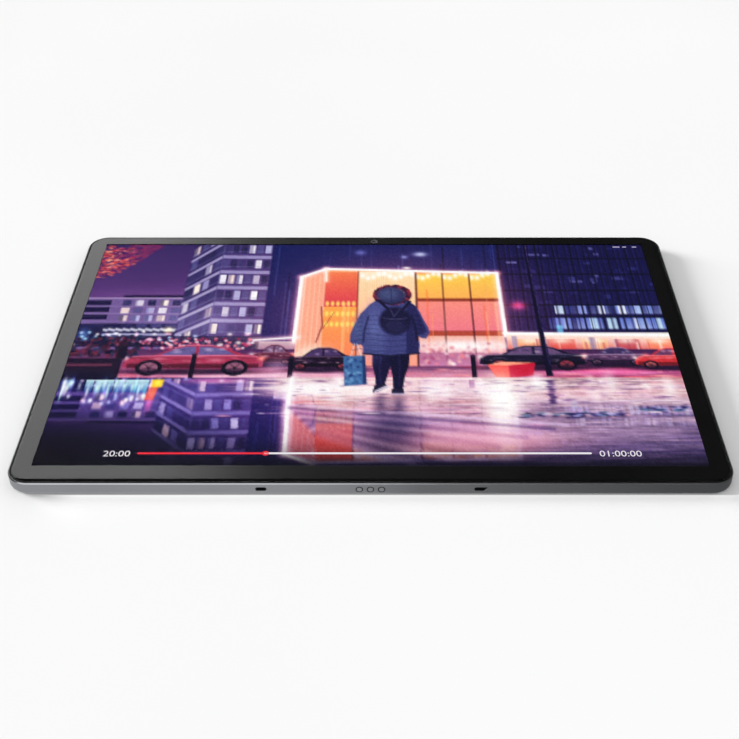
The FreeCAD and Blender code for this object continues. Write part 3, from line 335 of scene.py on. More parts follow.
def cut_away(piece, cutters, material, smooth=35):
    """Removes the cutters' space from a piece and shades it again."""
    points, faces = [], []
    for part_points, part_faces in cutters:
        start = len(points)
        points += part_points
        faces += [tuple(start + corner for corner in face) for face in part_faces]
    mesh = mesh_of("cutters", (points, faces), material)
    turned = bmesh.new()
    turned.from_mesh(mesh)
    bmesh.ops.recalc_face_normals(turned, faces=turned.faces)
    turned.to_mesh(mesh)
    turned.free()
    cutter = add_object("cutters", mesh)
    modifier = piece.modifiers.new("cut", "BOOLEAN")
    modifier.object = cutter
    modifier.solver = "EXACT"
    evaluated = piece.evaluated_get(bpy.context.evaluated_depsgraph_get())
    result = bpy.data.meshes.new_from_object(evaluated)
    piece.modifiers.clear()
    old, piece.data = piece.data, result
    bpy.data.meshes.remove(old)
    bpy.data.objects.remove(cutter)
    bpy.data.meshes.remove(mesh)
    shade(piece.data, smooth)


# ---- the picture on the display ----

GRID_COLUMNS = 500
GRID_ROWS = 195
FINE_ACROSS = 4
FINE_DOWN = 6
PICTURE_ASPECT = 1.6

NIGHT_TOP = (56, 42, 86)
NIGHT_LOW = (94, 64, 112)
LEAF_COLOURS = ((244, 128, 92), (226, 96, 74), (190, 66, 70), (255, 176, 140), (120, 42, 70))
TWIG_COLOURS = ((128, 52, 92), (96, 40, 88), (160, 66, 92), (74, 40, 92))
WALL_DARK = (78, 64, 108)
WALL_SHADE = (60, 48, 90)
BALCONY = (158, 152, 186)
WINDOW_LIT = ((236, 232, 240), (206, 214, 244), (250, 224, 206), (176, 176, 214))
WINDOW_DIM = ((44, 44, 74), (62, 60, 96), (84, 82, 122))
TOWER = (26, 38, 84)
TOWER_STREAK = (52, 70, 124)
LIT_PANES = ((226, 232, 250), (150, 170, 220), (40, 50, 104), (110, 128, 196), (28, 32, 74), (176, 206, 226))
FACADE = (28, 26, 70)
MULLION = (12, 12, 30)
NEON = (255, 250, 248)
GLOW_PINK = (255, 128, 112)
PAVEMENT_FAR = (246, 208, 206)
PAVEMENT_NEAR = (138, 116, 154)
WET_TOP = 0.655
COAT = (74, 76, 116)
COAT_DARK = (44, 42, 76)
FUR_COLOURS = ((84, 36, 56), (104, 44, 60), (46, 24, 48), (140, 60, 72))
SHOP_COLOURS = ((255, 150, 96), (200, 66, 60), (255, 176, 120), (150, 52, 66), (255, 120, 84))
NEAR_BLACK = (16, 16, 30)
CONTRAST = 0.4
DARK_TINT = (-0.03, -0.035, 0.05)
GRAIN = 0.07


class Painting:
    """A picture painted in plain colours; u runs 0 to 1 across it and v runs 0 to 1 down it."""

    def __init__(self, seed):
        self.rng = np.random.default_rng(seed)
        self.rows = (GRID_ROWS + 1) * FINE_DOWN
        self.columns = (GRID_COLUMNS + 1) * FINE_ACROSS
        self.u = ((np.arange(self.columns) + 0.5) / FINE_ACROSS - 0.5) / GRID_COLUMNS
        self.v = ((np.arange(self.rows) + 0.5) / FINE_DOWN - 0.5) / GRID_ROWS
        self.colour = np.zeros((self.rows, self.columns, 3), np.float32)

    def window(self, low, high):
        """The slices that hold the rectangle from low to high, and its u and v as a grid."""
        columns = slice(*np.searchsorted(self.u, (low[0], high[0])))
        rows = slice(*np.searchsorted(self.v, (low[1], high[1])))
        return rows, columns, self.u[None, columns], self.v[rows, None]

    def lay(self, rows, columns, mask, colour):
        """Lays a colour over part of the picture, as strongly as the mask says."""
        part = self.colour[rows, columns]
        shade = np.asarray(colour, np.float32) / 255
        part += mask[..., None].astype(np.float32) * (shade - part)

    def screen(self, rows, columns, light):
        """Adds light to part of the picture without passing white."""
        part = self.colour[rows, columns]
        part += np.clip(light, 0, 1) * (1 - part)

    def rectangle(self, low, high, top, bottom=None, strength=1.0):
        """A rectangle that fades from its top colour to its bottom colour."""
        rows, columns, u, v = self.window(low, high)
        bottom = top if bottom is None else bottom
        share = np.clip((v - low[1]) / max(high[1] - low[1], 1e-6), 0, 1)[..., None]
        shade = np.asarray(top) * (1 - share) + np.asarray(bottom) * share
        self.lay(rows, columns, np.full((v.size, u.size), strength), shade)

    def polygon(self, points, colour, strength=1.0):
        """A straight-sided shape in one colour."""
        across, down = zip(*points)
        rows, columns, u, v = self.window((min(across), min(down)), (max(across), max(down)))
        inside = np.zeros((v.size, u.size), bool)
        for (u_a, v_a), (u_b, v_b) in zip(points, points[1:] + points[:1]):
            if v_a != v_b:
                inside ^= ((v_a > v) != (v_b > v)) & (u < u_a + (v - v_a) * (u_b - u_a) / (v_b - v_a))
        self.lay(rows, columns, inside * strength, colour)

    def pane(self, corner, size, colour, strength=1.0):
        """A rectangle in one colour from its top left corner and its size."""
        self.rectangle(corner, (corner[0] + size[0], corner[1] + size[1]), colour, None, strength)

    def around(self, centre, size, reach):
        """The slices that reach so many half sizes from centre, and how many each point is away."""
        low = [place - half * reach for place, half in zip(centre, size)]
        high = [place + half * reach for place, half in zip(centre, size)]
        rows, columns, u, v = self.window(low, high)
        return rows, columns, (u - centre[0]) / size[0], (v - centre[1]) / size[1]

    def ellipse(self, centre, size, colour, strength=1.0, soft=0.0):
        """An ellipse of half sizes size, with an edge that may be soft."""
        rows, columns, across, down = self.around(centre, size, 1 + soft)
        distance = np.hypot(across, down)
        mask = np.clip((1 + soft - distance) / (2 * soft), 0, 1) if soft else distance < 1
        self.lay(rows, columns, mask * strength, colour)

    def distance(self, start, end, u, v):
        """How far each point is from a straight line, as a share of the picture's height."""
        a = np.array((start[0] * PICTURE_ASPECT, start[1]))
        d = np.array((end[0] * PICTURE_ASPECT, end[1])) - a
        across, down = u * PICTURE_ASPECT - a[0], v - a[1]
        along = np.clip((across * d[0] + down * d[1]) / max(d @ d, 1e-9), 0, 1)
        return np.hypot(across - along * d[0], down - along * d[1])

    def stroke(self, points, width, colour, strength=1.0, glow=0.0, glow_colour=None):
        """A line through points, with a glow of that reach around it."""
        for start, end in zip(points, points[1:]):
            reach = width / 2 + 3 * glow + 0.002
            low = (min(start[0], end[0]) - reach / PICTURE_ASPECT, min(start[1], end[1]) - reach)
            high = (max(start[0], end[0]) + reach / PICTURE_ASPECT, max(start[1], end[1]) + reach)
            rows, columns, u, v = self.window(low, high)
            away = self.distance(start, end, u, v)
            if glow:
                light = np.exp(-((away / glow) ** 2))[..., None] * np.asarray(glow_colour or colour) / 255
                self.screen(rows, columns, 0.55 * light)
            self.lay(rows, columns, (away < width / 2) * strength, colour)

    def glow(self, centre, size, colour, strength=1.0):
        """A soft patch of light."""
        rows, columns, across, down = self.around(centre, size, 3)
        fall = np.exp(-(across ** 2) - down ** 2)
        self.screen(rows, columns, strength * fall[..., None] * np.asarray(colour) / 255)

    def noise(self, down, across, shape):
        """Smooth random values from 0 to 1, with about down by across lumps."""
        grid = self.rng.random((down + 2, across + 2))
        y = np.linspace(0, down, shape[0])
        x = np.linspace(0, across, shape[1])
        y_low, x_low = y.astype(int), x.astype(int)
        y_part, x_part = (t * t * (3 - 2 * t) for t in (y - y_low, x - x_low))
        left, right = grid[:, x_low], grid[:, x_low + 1]
        line = left + (right - left) * x_part
        return line[y_low] + (line[y_low + 1] - line[y_low]) * y_part[:, None]

    def between(self, low, high):
        """A random value between two."""
        return self.rng.uniform(low, high)

    def pick(self, colours):
        """One of several colours, by chance."""
        return colours[self.rng.integers(len(colours))]

    def scatter(self, draw, count, across, down, size, colours, *strengths):
        """Draws marks at random places. A (low, high) pair and a function stand for random values."""
        def value(given):
            if callable(given):
                return given()
            return self.between(*given) if isinstance(given, tuple) else given

        for _ in range(count):
            draw((value(across), value(down)), (value(size[0]), value(size[1])), self.pick(colours),
                 *[value(strength) for strength in strengths])

    def windows(self, corners, across, down, lit_share, margin):
        """A grid of windows on a four-sided wall, whose corners run clockwise from the top left."""
        a, b, c, d = (np.array(p, float) for p in corners)

        def wall_part(x_low, x_high, y_low, y_high):
            return [tuple((a * (1 - x) + b * x) * (1 - y) + (d * (1 - x) + c * x) * y)
                    for x, y in ((x_low, y_low), (x_high, y_low), (x_high, y_high), (x_low, y_high))]

        for row in range(down):
            for column in range(across):
                x_low, x_high = (column + margin[0]) / across, (column + 1 - margin[0]) / across
                y_low, y_high = (row + margin[1]) / down, (row + 1 - margin[1]) / down
                is_lit = self.rng.random() < lit_share
                shade = self.pick(WINDOW_LIT if is_lit else WINDOW_DIM)
                self.polygon(wall_part(x_low, x_high, y_low, y_high), shade, self.between(0.55, 1.0))
                if is_lit and self.rng.random() < 0.6:
                    split = self.between(0.25, 0.75) * (x_high - x_low) + x_low
                    shadow = wall_part(x_low, split, y_low, y_high)
                    self.polygon(shadow, self.pick(WINDOW_DIM), self.between(0.3, 0.7))

    def grid_colours(self):
        """The mean colour round each point of the grid, as rows, columns and three shares."""
        blocks = self.colour.reshape(GRID_ROWS + 1, FINE_DOWN, GRID_COLUMNS + 1, FINE_ACROSS, 3)
        return np.clip(blocks.mean(axis=(1, 3)), 0, 1)


def each(draw, *rows):
    """Draws once with each row of settings."""
    for row in rows:
        draw(*row)


def upright_wall(left, right, top, foot):
    """The corners of an upright rectangle, clockwise from its top left."""
    return [(left, top), (right, top), (right, foot), (left, foot)]


def paint_sky(p):
    """Purple night sky, and lit leaves that thin out to dark twigs in its corner."""
    p.rectangle((-0.1, -0.1), (1.1, 0.32), NIGHT_TOP, NIGHT_LOW)
    p.glow((0.1, 0.3), (0.12, 0.06), (120, 84, 120), 0.25)
    for _ in range(900):
        reach = p.rng.random() ** 0.85
        depth = 0.175 * (1 - reach ** 1.6) * p.rng.random() ** 0.8
        spot = (0.105 * reach - 0.002, depth + p.between(-0.01, 0.02))
        size = p.between(0.0016, 0.0042)
        lit = p.rng.random() > 1.5 * reach
        strength = p.between(0.5, 0.95) * (1 - 0.6 * reach)
        p.ellipse(spot, (size * 1.5, size), p.pick(LEAF_COLOURS if lit else TWIG_COLOURS), strength)


def paint_low_houses(p):
    """A row of low lilac houses on the left, with a string of shop lights along the street."""
    p.polygon(upright_wall(-0.02, 0.17, 0.285, 0.6), (112, 94, 136))
    each(p.rectangle, ((0.062, 0.272), (0.17, 0.287), (46, 34, 66)),
         ((-0.02, 0.285), (0.17, 0.291), (152, 132, 168)))
    for level in (0.298, 0.332, 0.368):
        p.rectangle((-0.02, level), (0.043, level + 0.024), (36, 28, 64))
    p.windows(upright_wall(0.06, 0.168, 0.292, 0.405), 5, 3, 0.5, (0.17, 0.14))
    for level in (0.327, 0.364, 0.402):
        p.stroke([(-0.01, level), (0.166, level)], 0.003, (146, 126, 164), 0.8)
    p.rectangle((-0.02, 0.412), (0.17, 0.52), (40, 36, 70), (34, 30, 56))
    p.windows(upright_wall(0.02, 0.168, 0.408, 0.432), 6, 1, 0.2, (0.12, 0.1))
    for bulb in range(30):
        p.glow((0.045 + bulb * 0.0042, 0.441 + 0.003 * math.sin(bulb * 2.1)), (0.0022, 0.006),
               (236, 240, 255), 0.95)
    p.stroke([(0.05, 0.462), (0.15, 0.464)], 0.004, (190, 190, 232), 1, 0.006)
    p.scatter(p.glow, 40, (0.0, 0.168), (0.45, 0.515), (0.003, 0.005),
              ((190, 210, 255), (255, 236, 220), (255, 170, 200), (170, 220, 250)), 0.9)
    each(p.glow, ((0.154, 0.442), (0.007, 0.011), (255, 220, 110), 1.0),
         ((0.012, 0.47), (0.01, 0.035), (90, 160, 230), 0.5))


def paint_corner_block(p):
    """A block of flats seen at its corner, with pale balcony bands."""
    corner, left, right = 0.222, 0.166, 0.312
    each(p.polygon, (upright_wall(left, right, -0.02, 0.56), WALL_DARK),
         (upright_wall(left, corner, -0.02, 0.56), WALL_SHADE))
    floors = [(0.06 + floor * 0.082, 0.105 - 0.008 * floor) for floor in range(-1, 7)]
    band = 0.017
    for level, sag in floors:
        p.windows([(left, level + sag - 0.066), (corner, level - 0.066), (corner, level - 0.008),
                   (left, level + sag - 0.008)], 4, 1, 0.45, (0.14, 0.1))
        p.windows([(corner, level - 0.062), (right, level - 0.058), (right, level - 0.006),
                   (corner, level - 0.008)], 6, 1, 0.5, (0.12, 0.08))
    for level, sag in floors:
        p.polygon([(left, level + sag), (corner, level), (corner, level + band),
                   (left, level + sag + band * 0.8)], BALCONY, 0.85)
        p.polygon([(corner, level), (right, level + 0.004), (right, level + 0.004 + band),
                   (corner, level + band)], (146, 140, 178), 0.85)
        p.stroke([(left, level + sag - 0.018), (corner, level - 0.02), (right, level - 0.016)], 0.0022,
                 (120, 118, 158), 0.8)
    p.stroke([(corner, -0.02), (corner, 0.56)], 0.004, (92, 88, 128), 0.7)
    p.glow((0.21, 0.4), (0.06, 0.1), (120, 108, 140), 0.4)
    p.rectangle((left, 0.47), (right, 0.56), (40, 34, 60), (62, 44, 74), 0.75)
    p.scatter(p.glow, 10, (left, right), (0.46, 0.53), (0.004, 0.006),
              ((255, 170, 190), (190, 210, 255), (255, 236, 210)), 0.8)


def paint_towers(p):
    """Dark glass towers behind and to the right, ruled by mullions and spotted with lit rooms."""
    p.rectangle((0.312, -0.1), (0.74, 0.56), TOWER, (34, 36, 84))
    p.scatter(p.pane, 70, (0.312, 0.74), (-0.05, 0.4), ((0.0008, 0.0035), (0.08, 0.35)),
              (TOWER_STREAK, (38, 50, 104), (14, 18, 46), (70, 84, 140)), (0.3, 0.8))
    p.rectangle((0.725, -0.1), (1.1, 0.47), FACADE, (30, 30, 72))
    p.scatter(p.pane, 46, (0.73, 1.0), (0.0, 0.32), ((0.006, 0.028), (0.008, 0.02)),
              ((56, 58, 112), (80, 84, 140), (44, 44, 92), (130, 132, 180)), (0.2, 0.6))
    each(p.rectangle, ((0.815, 0.325), (1.05, 0.365), (150, 164, 214), (214, 222, 246), 0.8),
         ((0.8, 0.385), (1.05, 0.437), (90, 104, 168), (196, 206, 238), 0.75))
    for start, top, foot in ((0.815, 0.325, 0.365), (0.8, 0.385, 0.437)):
        u = start
        while u < 1.02:
            width = p.between(0.005, 0.016)
            p.rectangle((u, top), (u + width, foot), p.pick(LIT_PANES), None, p.between(0.5, 0.9))
            u += width
    for bay in range(26):
        u = 0.728 + bay * 0.0112 + 0.0016 * math.sin(bay * 2.4)
        each(p.rectangle,
             ((u, -0.1), (u + (0.0036 if bay % 3 == 0 else 0.0017), 0.45), MULLION, (16, 16, 40), 0.9),
             ((u + 0.0038, -0.1), (u + 0.0046, 0.45), (66, 68, 120), None, 0.5))
    for level in (0.075, 0.16, 0.245, 0.318, 0.376):
        p.rectangle((0.725, level), (1.1, level + 0.007), MULLION, None, 0.85)
    each(p.glow, ((0.752, 0.325), (0.012, 0.02), (236, 60, 110), 0.8),
         ((0.585, 0.055), (0.012, 0.012), (200, 210, 250), 0.75),
         ((0.556, 0.07), (0.006, 0.009), (150, 160, 220), 0.6),
         ((0.475, 0.045), (0.01, 0.014), (120, 130, 200), 0.5),
         ((0.56, 0.13), (0.007, 0.006), (255, 240, 220), 0.9))


def paint_pavilion(p):
    """A glowing glass pavilion with coloured panels behind dark mullions, edged in white light."""
    left, bend, right = 0.371, 0.414, 0.722
    top_left, top_bend, top_right, floor = 0.178, 0.135, 0.157, 0.61
    p.glow((0.55, 0.36), (0.2, 0.26), GLOW_PINK, 0.55)
    p.polygon([(left, top_left), (bend, top_bend), (right, top_right), (right, floor), (left, floor)],
              (250, 138, 88))
    p.polygon([(left, top_left), (bend, top_bend), (bend, floor), (left, floor)], (246, 150, 128))
    for rib in range(5):
        u = left + 0.006 + rib * 0.0088
        p.rectangle((u, 0.17), (u + 0.002, floor), (255, 186, 160), None, 0.6)
    each(p.rectangle, ((0.414, 0.15), (0.472, 0.33), (230, 120, 84), (196, 72, 84)),
         ((0.414, 0.33), (0.472, floor), (255, 150, 84), (255, 120, 96)),
         ((0.472, 0.15), (0.575, floor), (255, 206, 170), (244, 142, 126)))
    for curtain in range(26):
        u = 0.474 + curtain * 0.0039
        p.rectangle((u, 0.17), (u + 0.0016, 0.36 + 0.05 * math.sin(curtain * 1.7)), (255, 170, 110), None,
                    0.55)
    for row in range(3):
        for column in range(6):
            p.ellipse((0.42 + column * 0.0092, 0.315 + row * 0.05), (0.003, 0.012), (255, 216, 110), 0.8,
                      0.5)
    each(p.rectangle, ((0.577, 0.165), (0.722, 0.3), (250, 182, 84), (250, 156, 92)),
         ((0.577, 0.3), (0.722, 0.45), (234, 132, 120), (224, 118, 128)),
         ((0.577, 0.288), (0.722, 0.303), (122, 60, 40), None, 0.9),
         ((0.577, 0.445), (0.722, 0.47), (140, 66, 56), None, 0.8),
         ((0.577, 0.47), (0.722, floor), (232, 164, 150), (200, 142, 172)))
    for lamp in range(24):
        spot = (0.48 + lamp * 0.0098, 0.172 + 0.012 * math.sin(lamp * 1.3))
        p.glow(spot, (0.004, 0.012), (255, 244, 220), 0.95)
    for _ in range(16):
        u = p.between(0.42, 0.715)
        p.rectangle((u, p.between(0.2, 0.4)), (u + p.between(0.002, 0.006), p.between(0.42, floor)),
                    p.pick(((255, 190, 140), (236, 96, 60), (255, 150, 100))), None, 0.35)
    for post, width in ((0.574, 0.0036), (0.622, 0.0022), (0.67, 0.0026), (0.472, 0.0016)):
        p.rectangle((post, 0.14), (post + width, floor), (86, 38, 36), (64, 30, 40), 0.92)
    each(p.stroke, ([(0.405, 0.5), (0.414, 0.42), (0.41, 0.33)], 0.004, (112, 52, 50), 0.8),
         ([(0.414, 0.44), (0.432, 0.36)], 0.002, (112, 52, 50), 0.8))
    p.rectangle((0.577, 0.545), (0.722, floor), (150, 96, 124), (170, 112, 146), 0.75)
    each(p.glow, ((0.655, 0.515), (0.075, 0.022), (255, 236, 232), 0.85),
         ((0.4, 0.55), (0.03, 0.035), (255, 170, 150), 0.7))
    p.scatter(p.ellipse, 110, (0.58, 0.72), (0.5, 0.605), (0.0035, 0.007),
              ((236, 130, 136), (255, 236, 232), (140, 70, 100), (240, 186, 176)), (0.15, 0.5), 0.5)
    frame = [(left - 0.003, 0.5), (left, top_left), (bend, top_bend), (right, top_right),
             (right + 0.002, 0.47)]
    each(p.stroke, (frame, 0.0105, NEON, 1, 0.012, (255, 160, 170)),
         ([(bend, top_bend), (bend + 0.002, 0.2)], 0.004, (255, 226, 214), 1, 0.008, (255, 190, 170)))


def paint_street_front(p):
    """Lit shop fronts and a bright canopy edge along the street on the right."""
    p.rectangle((0.724, 0.455), (1.1, 0.55), (255, 222, 204), (190, 84, 84))
    for shop, shade in enumerate(SHOP_COLOURS):
        u = 0.742 + shop * 0.054
        p.rectangle((u, 0.485), (u + 0.042, 0.55), shade, None, 0.55)
        p.glow((u + 0.02, 0.492), (0.016, 0.012), (255, 230, 200), 0.6)
    for _ in range(24):
        u = p.between(0.735, 0.99)
        p.rectangle((u, p.between(0.475, 0.5)), (u + p.between(0.001, 0.006), 0.55),
                    p.pick(((150, 70, 90), (255, 236, 220), (110, 60, 90))), None, p.between(0.2, 0.6))
    each(p.rectangle, ((0.733, 0.47), (0.742, 0.56), (150, 140, 164), None, 0.8),
         ((0.862, 0.475), (0.872, 0.56), (140, 130, 156), None, 0.7))
    each(p.stroke, ([(0.722, 0.457), (1.05, 0.468)], 0.011, NEON, 1, 0.009, (255, 200, 200)),
         ([(0.3, 0.49), (0.372, 0.476)], 0.007, (255, 240, 240), 1, 0.012, (255, 180, 190)))
    p.rectangle((0.31, 0.495), (0.372, 0.56), (240, 206, 200), (180, 120, 140), 0.7)


def paint_wheel(p, centre, radius, rim):
    """A car wheel with a pale rim."""
    each(p.ellipse, (centre, (radius, radius * PICTURE_ASPECT), NEAR_BLACK),
         (centre, (radius * 0.68, radius * 0.68 * PICTURE_ASPECT), rim, 0.7))
    for spoke in range(5):
        turn = spoke * 2 * math.pi / 5 + 0.3
        tip = (centre[0] + radius * 0.6 * math.cos(turn),
               centre[1] + radius * 0.6 * PICTURE_ASPECT * math.sin(turn))
        p.stroke([centre, tip], 0.004, (70, 40, 52), 0.6)
    p.ellipse(centre, (radius * 0.16, radius * 0.16 * PICTURE_ASPECT), (60, 40, 52))


def paint_car(p, left, right, ground, height, body, glass, rim=(210, 120, 120)):
    """A parked saloon car from the side, its roof a share of its height above the street."""
    length = right - left

    def spot(x, y):
        return (left + x * length, ground - y * height)

    outline = ((0, 0.18), (0.01, 0.46), (0.08, 0.56), (0.22, 0.62), (0.33, 0.88), (0.42, 0.99),
               (0.58, 1.0), (0.7, 0.92), (0.84, 0.66), (0.95, 0.6), (1.0, 0.44), (0.995, 0.2),
               (0.9, 0.12), (0.1, 0.12))
    shine = tuple(min(255, c + 70) for c in body)
    shadow = tuple(int(c * 0.45) for c in body)
    for draw, points, *look in (
            (p.polygon, outline, body),
            (p.polygon, ((0.25, 0.62), (0.35, 0.86), (0.43, 0.94), (0.5, 0.94), (0.5, 0.62)), glass),
            (p.polygon, ((0.525, 0.62), (0.525, 0.94), (0.6, 0.94), (0.69, 0.87), (0.79, 0.64)), glass),
            (p.stroke, ((0.06, 0.57), (0.3, 0.6), (0.8, 0.6), (0.95, 0.57)), 0.004, shine, 0.8),
            (p.stroke, ((0.34, 0.9), (0.44, 1.0), (0.6, 1.0), (0.7, 0.92)), 0.0035, shine, 0.8),
            (p.polygon, ((0.03, 0.14), (0.03, 0.3), (0.97, 0.3), (0.97, 0.14)), shadow, 0.7)):
        draw([spot(*point) for point in points], *look)
    glints = (shine, (255, 226, 226), tuple(c // 2 for c in body))
    for _ in range(26):
        p.ellipse(spot(p.between(0.06, 0.94), p.between(0.3, 0.56)),
                  (p.between(0.02, 0.07) * length, 0.0022), p.pick(glints), p.between(0.15, 0.5), 0.6)
    for _ in range(7):
        p.ellipse(spot(p.between(0.32, 0.72), p.between(0.68, 0.86)), (0.03 * length, 0.004),
                  p.pick(((230, 214, 232), (60, 48, 78))), 0.35, 0.6)
    each(p.glow, (spot(0.985, 0.5), (0.006, 0.01), (255, 120, 90), 0.9),
         (spot(0.01, 0.5), (0.005, 0.009), (255, 230, 220), 0.6))
    for place in (0.19, 0.8):
        paint_wheel(p, spot(place, 0.15), 0.094 * length, rim)
    p.ellipse(spot(0.5, 0.0), (0.52 * length, 0.012), (24, 14, 34), 0.75, 0.4)


def paint_street(p):
    """The road with its parked cars, posts, planter and the lamp post."""
    each(p.rectangle, ((-0.1, 0.53), (0.371, 0.66), (84, 54, 90), (170, 96, 124)),
         ((0.371, 0.605), (0.722, 0.66), (96, 60, 92), (196, 120, 140)),
         ((0.722, 0.53), (1.1, 0.66), (70, 44, 78), (170, 96, 124)))
    p.scatter(p.ellipse, 240, (0, 1), (0.605, 0.66), ((0.004, 0.025), (0.0015, 0.004)),
              ((226, 96, 110), (120, 54, 84), (255, 160, 150), (84, 48, 84), (200, 130, 170)),
              (0.25, 0.7), 0.6)
    each(p.glow, ((0.3, 0.645), (0.14, 0.02), (255, 170, 190), 0.75),
         ((0.62, 0.635), (0.12, 0.02), (255, 196, 204), 0.2),
         ((0.88, 0.63), (0.1, 0.012), (230, 50, 100), 0.8))
    each(p.rectangle, ((-0.1, 0.57), (0.09, 0.67), (34, 22, 40), (26, 20, 38), 0.9),
         ((-0.1, 0.595), (0.075, 0.604), (110, 60, 80)))
    p.scatter(p.ellipse, 160, (-0.01, 0.115), lambda: 0.56 - 0.09 * p.rng.random() ** 1.6, (0.004, 0.007),
              ((30, 26, 44), (72, 36, 52), (110, 50, 66), (46, 60, 84)), 0.8)
    p.scatter(p.ellipse, 120, (0.115, 0.3), lambda: 0.53 - 0.05 * p.rng.random(), (0.003, 0.005),
              ((240, 130, 140), (250, 220, 230), (170, 60, 90), (90, 40, 80)), 0.7)
    paint_car(p, 0.36, 0.475, 0.622, 0.098, (44, 26, 44), (84, 66, 100), (196, 92, 90))
    paint_car(p, 0.3, 0.372, 0.6, 0.09, (88, 40, 58), (120, 96, 120))
    paint_car(p, 0.093, 0.322, 0.63, 0.118, (152, 62, 86), (104, 96, 136), (190, 130, 150))
    p.glow((0.345, 0.6), (0.022, 0.03), (200, 170, 200), 0.45)
    paint_car(p, 0.675, 0.853, 0.613, 0.098, (32, 26, 46), (104, 84, 112), (180, 84, 92))
    paint_car(p, 0.848, 0.952, 0.6, 0.078, (90, 64, 92), (70, 60, 92), (150, 120, 140))
    paint_car(p, 0.93, 1.06, 0.613, 0.09, (190, 62, 66), (110, 70, 96), (230, 130, 120))
    each(p.polygon, ([(0.688, 0.6), (0.722, 0.602), (0.722, 0.654), (0.699, 0.652)], (240, 82, 78)),
         ([(0.722, 0.602), (0.766, 0.59), (0.76, 0.646), (0.722, 0.654)], (176, 34, 62)),
         ([(0.688, 0.6), (0.712, 0.586), (0.766, 0.59), (0.722, 0.602)], (255, 140, 118)),
         ([(0.777, -0.02), (0.7815, -0.02), (0.792, 0.648), (0.781, 0.648)], (20, 16, 40)))
    p.stroke([(0.7815, 0.0), (0.7895, 0.6)], 0.0018, (110, 90, 150), 0.7)
    p.rectangle((0.812, 0.42), (0.822, 0.455), (120, 190, 220), None, 0.7)
    for place, top in ((0.203, 0.555), (0.363, 0.565), (0.661, 0.56)):
        p.rectangle((place, top), (place + 0.0085, top + 0.115), (24, 18, 34), (36, 20, 40))
        p.ellipse((place + 0.004, top), (0.0045, 0.006), (60, 40, 60))
    p.rectangle((0.078, 0.5), (0.094, 0.575), (30, 20, 36), None, 0.9)
    p.ellipse((0.086, 0.505), (0.006, 0.011), (60, 34, 50))


def paint_reflections(p):
    """The wet ground: a dark mirror on the left, and pale rough pavement on the right."""
    first = np.searchsorted(p.v, WET_TOP)
    height, width = p.rows - first, p.columns
    u, v = p.u[None], p.v[first:, None]
    depth = (v - WET_TOP) / (1 - WET_TOP)
    source_v = np.where(u < 0.345, 0.469 - (v - 0.66) * 1.1, 0.585 - (v - 0.66) * 1.385)
    ripple = (p.noise(70, 12, (height, width)) - 0.5) * (4 + 10 * depth)
    columns = np.clip(np.arange(width)[None] + ripple.astype(int), 0, width - 1)
    rows = np.clip(np.searchsorted(p.v, source_v), 0, p.rows - 1)
    mirrored = p.colour[rows, columns]
    total = np.concatenate([np.zeros((1, width, 3), np.float32), np.cumsum(mirrored, axis=0)])
    reach = 4
    low = np.clip(np.arange(height) - reach, 0, height)
    high = np.clip(np.arange(height) + reach, 0, height)
    mirrored = (total[high] - total[low]) / (high - low)[:, None, None]
    dusk = 1 - 0.6 * np.clip((0.3 - u) * 4, 0, 1) * np.clip((v - 0.76) * 7, 0, 1)
    tone = (mirrored * np.array((0.8, 0.77, 0.9)) + np.array((0.004, 0.0, 0.035))) * dusk[..., None]
    share = np.clip(depth * 1.15, 0, 1)[..., None]
    ground = (np.array(PAVEMENT_FAR) * (1 - share) + np.array(PAVEMENT_NEAR) * share) / 255
    streaks = 0.6 * p.noise(120, 26, (height, width)) + 0.4 * p.noise(190, 120, (height, width))
    ground = ground * (0.62 + 0.62 * streaks[..., None])
    edge = np.where(v < 0.78, 0.25 + (v - WET_TOP) * 0.9, 0.362 + (v - 0.78) * 1.6)
    lumps = 0.5 * p.noise(34, 9, (height, width)) + 0.5 * p.noise(90, 22, (height, width))
    dry = np.clip((u - edge + 0.16 * (lumps - 0.5)) * 12, 0, 1)
    dry *= 0.62 + 0.36 * p.noise(60, 14, (height, width))
    puddle = np.exp(-(((v - 0.795) / 0.022) ** 2)) * np.clip((u - 0.72) * 8, 0, 1) * (lumps > 0.5)
    rough = np.clip(dry - 0.25 * puddle, 0, 1)[..., None]
    p.colour[first:] = tone * (1 - rough) + ground * rough


